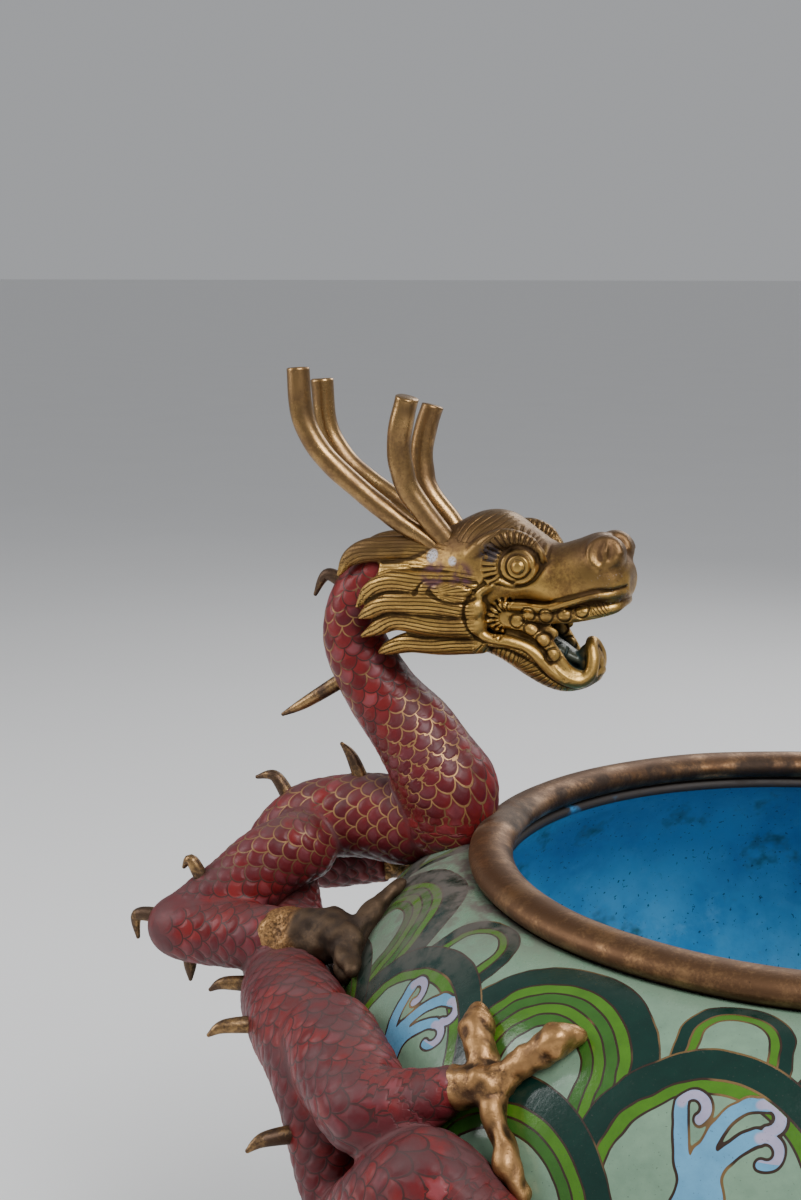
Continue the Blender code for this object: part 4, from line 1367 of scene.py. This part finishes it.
# %% Gilt of the head
GILT_BRIGHT = (0.530, 0.325, 0.092)
GILT_DULL = (0.205, 0.112, 0.042)
GILT_DIRT = (0.040, 0.022, 0.008)
GROOVE_BROWN = (0.050, 0.026, 0.010)
CROWN_BROWN = (0.100, 0.058, 0.032)
SNOUT_BROWN = (0.130, 0.072, 0.036)
BLOOM_RED = (0.070, 0.016, 0.030)
BLOOM_BLUE = (0.025, 0.022, 0.035)
WHITE_CRUMB = (0.50, 0.50, 0.54)
MOUTH_TEAL = (0.010, 0.040, 0.040)

made = worn_metal("head_gilt", GILT_BRIGHT, GILT_DULL, GILT_DIRT, wear=0.47, hollow_depth=0.20)
maker, shader, place, colour, roughness, relief = made
forward, aside, up = place.parts()
turn, depth, _ = stored(maker, "lines").parts()
groove = (turn * (2 * math.pi)).maths("COSINE").step(0.15, 0.92) * depth
colour = (groove * 0.85).tint(colour, GROOVE_BROWN)
ragged = (noise(place, 0.12, 3.0) - 0.5) * 12.0
top = (up + forward.step(30.0, 0.0) * 7.0 + ragged).step(7.0, 20.0) * 0.82
colour = top.tint(colour, CROWN_BROWN)
snout = forward.step(78.0, 96.0) * (noise(place, 0.09, 4.0) + up * 0.012).step(0.38, 0.62)
colour = (snout * 0.55).tint(colour, SNOUT_BROWN)


def patch(centre, size, grain, low, high):
    """A blotch on both sides of the head, broken up by noise."""
    gap = length(length(forward - centre[0], up - centre[1]), (abs(aside) - 17.0) * 0.4) / size
    return (1 - gap.step(0.6, 1.1)) * noise(place, grain, 3.0, 0.6).step(low, high)


bloom = patch((34, 5), 6.5, 0.16, 0.36, 0.56).most(patch((45, 6), 6.5, 0.16, 0.40, 0.58))
colour = (bloom * 0.9).tint(colour, BLOOM_RED)
blue_spot = patch((57, 15.5), 5.0, 0.30, 0.44, 0.50)
colour = (blue_spot * 0.8).tint(colour, BLOOM_BLUE)
crumbs = patch((31, 12.5), 3.0, 1.6, 0.40, 0.48).most(patch((41, 11), 2.3, 1.6, 0.38, 0.46))
crumbs = crumbs.most(patch((107, 1.5), 10.0, 1.3, 0.66, 0.70))
colour = crumbs.tint(colour, WHITE_CRUMB)
inner_mouth = abs(aside).step(11.5, 9.0) * forward.step(60.0, 66.0) * forward.step(95.0, 92.0)
inner_mouth = inner_mouth * up.step(-7.5, -10.5) * (up + forward * 0.42).step(-1.5, 1.0)
colour = (inner_mouth * 0.9).tint(colour, MOUTH_TEAL)
metal = (1 - crumbs.most(bloom * 0.8).most(inner_mouth * 0.85).most(blue_spot * 0.7)) * 0.96
roughness = roughness + crumbs * 0.3 + top * 0.08 + groove * 0.2
gilt_finish = set_finish(
    shader, {"Base Color": colour, "Metallic": metal, "Roughness": roughness},
    bump=(relief - groove * 2.2, 0.00045),
)
head.data.materials.append(gilt_finish)
print("head finish nodes:", len(maker.tree.nodes))

# %% [markdown]
# ## Horns, claws and spines
# The horns are bent brass rod with sawn ends. The claws are small castings, knobbly and rubbed. The
# spines are tapered thorns, soldered on last.

# %% Horns
HORN_ROD = 4.9        # mm, the rod's radius
LONG_ROD = [
    (34, 9, 11.5, 0.7), (29, 9.5, 16, 0.7), (11, 10.5, 27.5, 0.9), (-12, 12, 45.5, 0.95),
    (-23, 12.5, 57.5, 0.97), (-28, 13, 70, 1), (-29.5, 13, 88, 1),
]
SHORT_ROD = [
    (37, 9, 13.5, 0.9), (35, 9.5, 18, 0.9), (20, 12, 37.5, 1), (16.5, 13.5, 48, 1.02),
    (16, 14.5, 60, 1.02), (20, 16, 77, 1),
]
SOCKET_TOP = 30       # mm; the far horn is shorter from here up
rods = []
for side, height in ((-1, 1.0), (1, 0.93)):
    for rows in (LONG_ROD, SHORT_ROD):
        stations = [
            on_head(forward, side * out, up * (height if up > SOCKET_TOP else 1), HORN_ROD * share)
            for forward, out, up, share in rows
        ]
        path = smooth_path(stations, 0.0015)
        end = path[-1].copy()
        end[:3] += headings(path)[-1] * 0.0004
        end[3] *= 0.86
        rods.append(sweep(np.vstack([path, end]), 32))
horns = new_piece("bent_horns", gather(rods))
points = points_of(horns.data)
dents = lumps(points, 0.014)
points += normals_of(horns.data) * (dents * 0.14 * MM)[:, None]
move_points(horns.data, points)
store(horns.data, "hollow", -dents * 0.08)
store(horns.data, "place", points / MM)
horns.data.materials.append(plain_metal(
    "horn_brass", (0.340, 0.205, 0.082), (0.190, 0.110, 0.050), (0.05, 0.03, 0.02),
    depth=0.0004, metallic=0.96, wear=0.50, gloss=0.25,
))
print("horn faces:", len(horns.data.polygons))

# %% Claws
CLAW_VOXEL = 0.0009
FORE_PALM = [(19.2, -38, 10.5, 11), (22, -35, 6, 8.5)]
FORE_TOES = [
    [(22, -35, 6, 6.5), (19.5, -27, 4, 5), (16.8, -20, 3, 3.8), (15.5, -17, 2, 2.5)],
    [(22, -35, 6, 6.5), (25, -36.5, 5, 5), (27.5, -38, 3.5, 3.6)],
    [(21.5, -37, 6, 6.5), (23.5, -41, 4, 4.5), (25.5, -44, 2.5, 3)],
]
HIND_PALM = [(61.5, -37.5, 6, 7.5)]
HIND_TOES = [
    [(61.5, -37.5, 5, 6.5), (58.5, -30, 4.5, 5.2), (56.3, -25, 4, 6.5), (55.2, -22.5, 3, 4)],
    [(61.5, -37.5, 5, 6.5), (64.5, -28.5, 5.5, 4.8), (67, -21, 6, 6.2), (68.2, -18.5, 4, 4)],
    [(61.5, -37.5, 5, 6), (64.5, -46, 5.5, 4.2), (67, -55, 5, 4.6), (68.5, -61, 3.5, 3)],
]
HAUNCH_PALM = [(76, -78, 6, 7.5)]
HAUNCH_TOES = [
    [(76, -78, 5, 6.5), (80, -69, 5, 4.8), (83, -61, 4, 5.2)],
    [(76, -78, 5, 6.5), (82, -77, 5.5, 4.8), (87, -75, 4, 5.4)],
    [(76, -78, 5, 6), (80, -87, 5, 4.4), (83, -96, 4, 4.4)],
]


def wrist(limb):
    before, last = np.array(tubes[limb][0][-2:])
    start = last.copy()
    start[:3] -= unit(last[:3] - before[:3]) * last[3] * 0.2
    return tuple(start)


def claw_skins(limb, palm, toes, way):
    """A palm from the wrist on, and its toes; way -1 is the other side of the dragon."""
    def finger(rows, sides, start=()):
        placed = [on_bowl(row[0] * way, *row[1:]) for row in rows]
        return sweep(round_ends(smooth_path([*start, *placed], 0.0015)), sides)
    return [finger(palm, 24, [wrist(limb)])] + [finger(toe, 20) for toe in toes]


CLAW_SETS = [
    ("near_forearm", FORE_PALM, FORE_TOES, 1), ("far_forearm", FORE_PALM, FORE_TOES, -1),
    ("hind_leg", HIND_PALM, HIND_TOES, 1), ("haunch", HAUNCH_PALM, HAUNCH_TOES, 1),
]
print("claws per dragon:", len(CLAW_SETS))

# %% Finish of the claws
CLAW_BRIGHT = (0.500, 0.275, 0.110)
CLAW_DULL = (0.095, 0.052, 0.030)
CLAW_DIRT = (0.035, 0.022, 0.014)
CLAW_BLACK = (0.062, 0.046, 0.036)
CLAW_SPECK = (0.085, 0.050, 0.026)

made = worn_metal(
    "claw_gilt", CLAW_BRIGHT, CLAW_DULL, CLAW_DIRT, wear=0.52, hollow_depth=0.42, pits=0.5,
)
maker, shader, place, colour, roughness, relief = made
from_cuff = stored(maker, "from_cuff", vector=False)
blackened = (from_cuff + (noise(place, 0.10, 3.0) - 0.5) * 9.0).step(7.0, 13.0)
colour = (blackened * 0.88).tint(colour, CLAW_BLACK)
speckled = (1 - blackened) * noise(place, 0.9, 3.0, 0.7).step(0.50, 0.64) * (from_cuff > 0.0)
colour = (speckled * 0.7).tint(colour, CLAW_SPECK)
claw_finish = set_finish(
    shader, {"Base Color": colour, "Roughness": roughness + blackened * 0.22 + speckled * 0.15},
    bump=(relief - speckled * 0.5, 0.0008), Metallic=0.93,
)
print("claw finish nodes:", len(maker.tree.nodes))

# %% Shape the claws
HIDDEN_CUFF = -40.0   # mm; a hind claw has no cuff, so it is never blackened
claws = []
for index, (limb, *shape) in enumerate(CLAW_SETS, start=1):
    claw = even_skin(f"claw_{index}", claw_skins(limb, *shape), CLAW_VOXEL, 3)
    points = points_of(claw.data)
    knobs = lumps(points, 0.013) * 0.75 + lumps(points, 0.0055, seed=5) * 0.26
    points += normals_of(claw.data) * (knobs * MM)[:, None]
    move_points(claw.data, points)
    from_wrist = np.linalg.norm(points - wrist(limb)[:3], axis=1) / MM - 9.0
    has_cuff = "forearm" in limb
    store(claw.data, "from_cuff", from_wrist if has_cuff else np.full(len(points), HIDDEN_CUFF))
    store(claw.data, "hollow", hollows(claw.data))
    store(claw.data, "place", points / MM)
    claw.data.materials.append(claw_finish)
    claws.append(claw)
print("claw points:", [len(claw.data.vertices) for claw in claws])

# %% Spines
FREE_SPINES = [
    [(60, 0, 97), (72, 0, 103), (78, 0, 94)],
    [(58, 0, 62), (82, 0, 46), (94, 0, 39)],
    [(55, 0, 8), (61, 0, 22), (66, 0, 28)],
    [(90, 0, -2), (98, 0, 10), (107, 0, 9)],
    [(109, -44, -34), (117, -46, -17), (121, -46, -20)],
    [(130, -50, -42), (142, -50, -43), (142, -50, -53)],
    [(116, -52, -54), (116, -52, -62), (116, -52, -68)],
]
COIL_SPINES = [0.0, 0.16, 0.34, 0.52, 0.68]   # shares of the coil's length
THORN_RADII = (0.0036, 0.0027, 0.0009)
spine_rows = [[free(*row)[:3] for row in rows] for rows in FREE_SPINES]
coil = smooth_path([on_bowl(*row) for row in COIL], 0.021)
for share in COIL_SPINES:
    row = coil[round(share * (len(coil) - 1))]
    centre, level_out = row[:3], unit(row[:3] * (1, 1, 0))
    spine_rows.append([
        centre + level_out * row[3] * 0.75, centre + level_out * (row[3] + 0.009),
        centre + level_out * (row[3] + 0.015) - (0, 0, 0.003),
    ])
thorns = []
for rows in spine_rows:
    stations = [(*place, radius) for place, radius in zip(rows, THORN_RADII)]
    thorns.append(sweep(round_ends(smooth_path(stations, 0.001), at_start=False), 20))
spines = new_piece("brazed_spines", gather(thorns))
store(spines.data, "hollow", np.zeros(len(spines.data.vertices)))
store(spines.data, "place", points_of(spines.data) / MM)
spines.data.materials.append(plain_metal(
    "spine_bronze", (0.400, 0.240, 0.100), (0.085, 0.052, 0.034), (0.04, 0.03, 0.02),
    depth=0.0006, metallic=0.9, wear=0.60,
))
print("spines:", len(thorns))

# %% [markdown]
# ## The second dragon
# Both dragons came from one pattern. The second is the first, turned half way round the bowl, so it
# uses the same meshes. Each piece hides the nodes of the measured model that it stands for.

# %% Name, turn and attach
SPINE_NODES = [f"spine_{index:02}" for index in range(1, 13)]
dragon = {
    "body": (body, ["body"], "red_enamel"), "head": (head, ["head"], "old_gilt"),
    "horns": (horns, ["horn_1", "horn_2"], "old_gilt"), "spines": (spines, SPINE_NODES, "old_gilt"),
}
for index, claw in enumerate(claws, start=1):
    dragon[f"claw_{index}"] = (claw, [f"claw_{index}"], "old_gilt")
for number, name in enumerate(DRAGON_NAMES):
    for part, (piece, nodes, slot) in dragon.items():
        if number:
            piece = new_object(f"{name}_{part}_piece", piece.data)
            piece.rotation_euler[2] = math.pi
        else:
            piece.name = f"{name}_{part}_piece"
        bpy.context.view_layer.update()
        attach(piece, "root")
        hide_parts(*(f"{name}_{node}" for node in nodes))
print("pieces per dragon:", len(dragon))

# %% [markdown]
# ## Floor, light and camera
# The stage is plain: a pale floor, a pale room and three large soft lights. Large lights make the long
# soft highlights that show how smooth enamel and metal are. The camera stands where the picture was
# taken, half a metre up and close, with a lens of 54 mm.

# %% Floor and room
ROOM_GREY = (0.55, 0.56, 0.58, 1)
ROOM_STRENGTH = 0.70

floor_mesh = bpy.data.meshes.new("floor")
floor_mesh.from_pydata([(-90, -90, 0), (90, -90, 0), (90, 90, 0), (-90, 90, 0)], [], [(0, 1, 2, 3)])
floor = new_object("floor", floor_mesh)
maker, shader = new_finish("pale_floor")
floor_noise = noise(maker.node("NewGeometry", None, None, "Position"), 4.0)
floor_mesh.materials.append(set_finish(
    shader, {"Base Color": floor_noise.tint((0.78, 0.78, 0.78), (0.81, 0.81, 0.81))}, Roughness=0.85,
))
floor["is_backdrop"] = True
world = bpy.data.worlds.new("room")
world.use_nodes = True
for name, value in (("Color", ROOM_GREY), ("Strength", ROOM_STRENGTH)):
    world.node_tree.nodes["Background"].inputs[name].default_value = value
bpy.context.scene.world = world
print("floor and room ready")

# %% Lights
def point_along(thing, place, way):
    """Put a light or a camera at a place, and turn it to look along a direction."""
    thing.location = place
    tilt, turn = math.atan2(math.hypot(*way[:2]), -way[2]), math.atan2(-way[0], way[1])
    thing.rotation_euler = (tilt, 0, turn)


def soft_light(name, place, target, size, power):
    data = bpy.data.lights.new(name, "AREA")
    data.shape = "RECTANGLE"
    data.size, data.size_y = size
    data.energy = power
    point_along(new_object(name, data), place, np.subtract(target, place))


soft_light("key", (0.7, -0.8, 1.6), (-0.1, 0, 0.3), (0.8, 0.8), 30)
soft_light("left", (-1.5, -0.5, 1.0), (-0.2, 0, 0.3), (0.5, 1.1), 14)
soft_light("back", (0.3, 1.6, 1.3), (0, 0, 0.3), (1.2, 0.7), 16)
print("lights:", len(bpy.data.lights))

# %% Camera
CAMERA_PLACE = (0.0697, -0.7100, RIM_LEVEL + 0.2323)
CAMERA_WAY = (-0.3364, 0.9243, -0.1803)

camera_data = bpy.data.cameras.new("camera")
camera_data.lens = 54
camera_data.sensor_width = 36
camera = new_object("camera", camera_data)
point_along(camera, CAMERA_PLACE, CAMERA_WAY)
bpy.context.scene.camera = camera
print("camera looks down by degrees:", round(math.degrees(math.asin(-CAMERA_WAY[2])), 1))

# %% Compare the boxes
shown_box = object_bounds()
growth = (np.array(shown_box) - np.array(cad_box)) / MM
print("grows by mm:", growth.round(1).tolist())
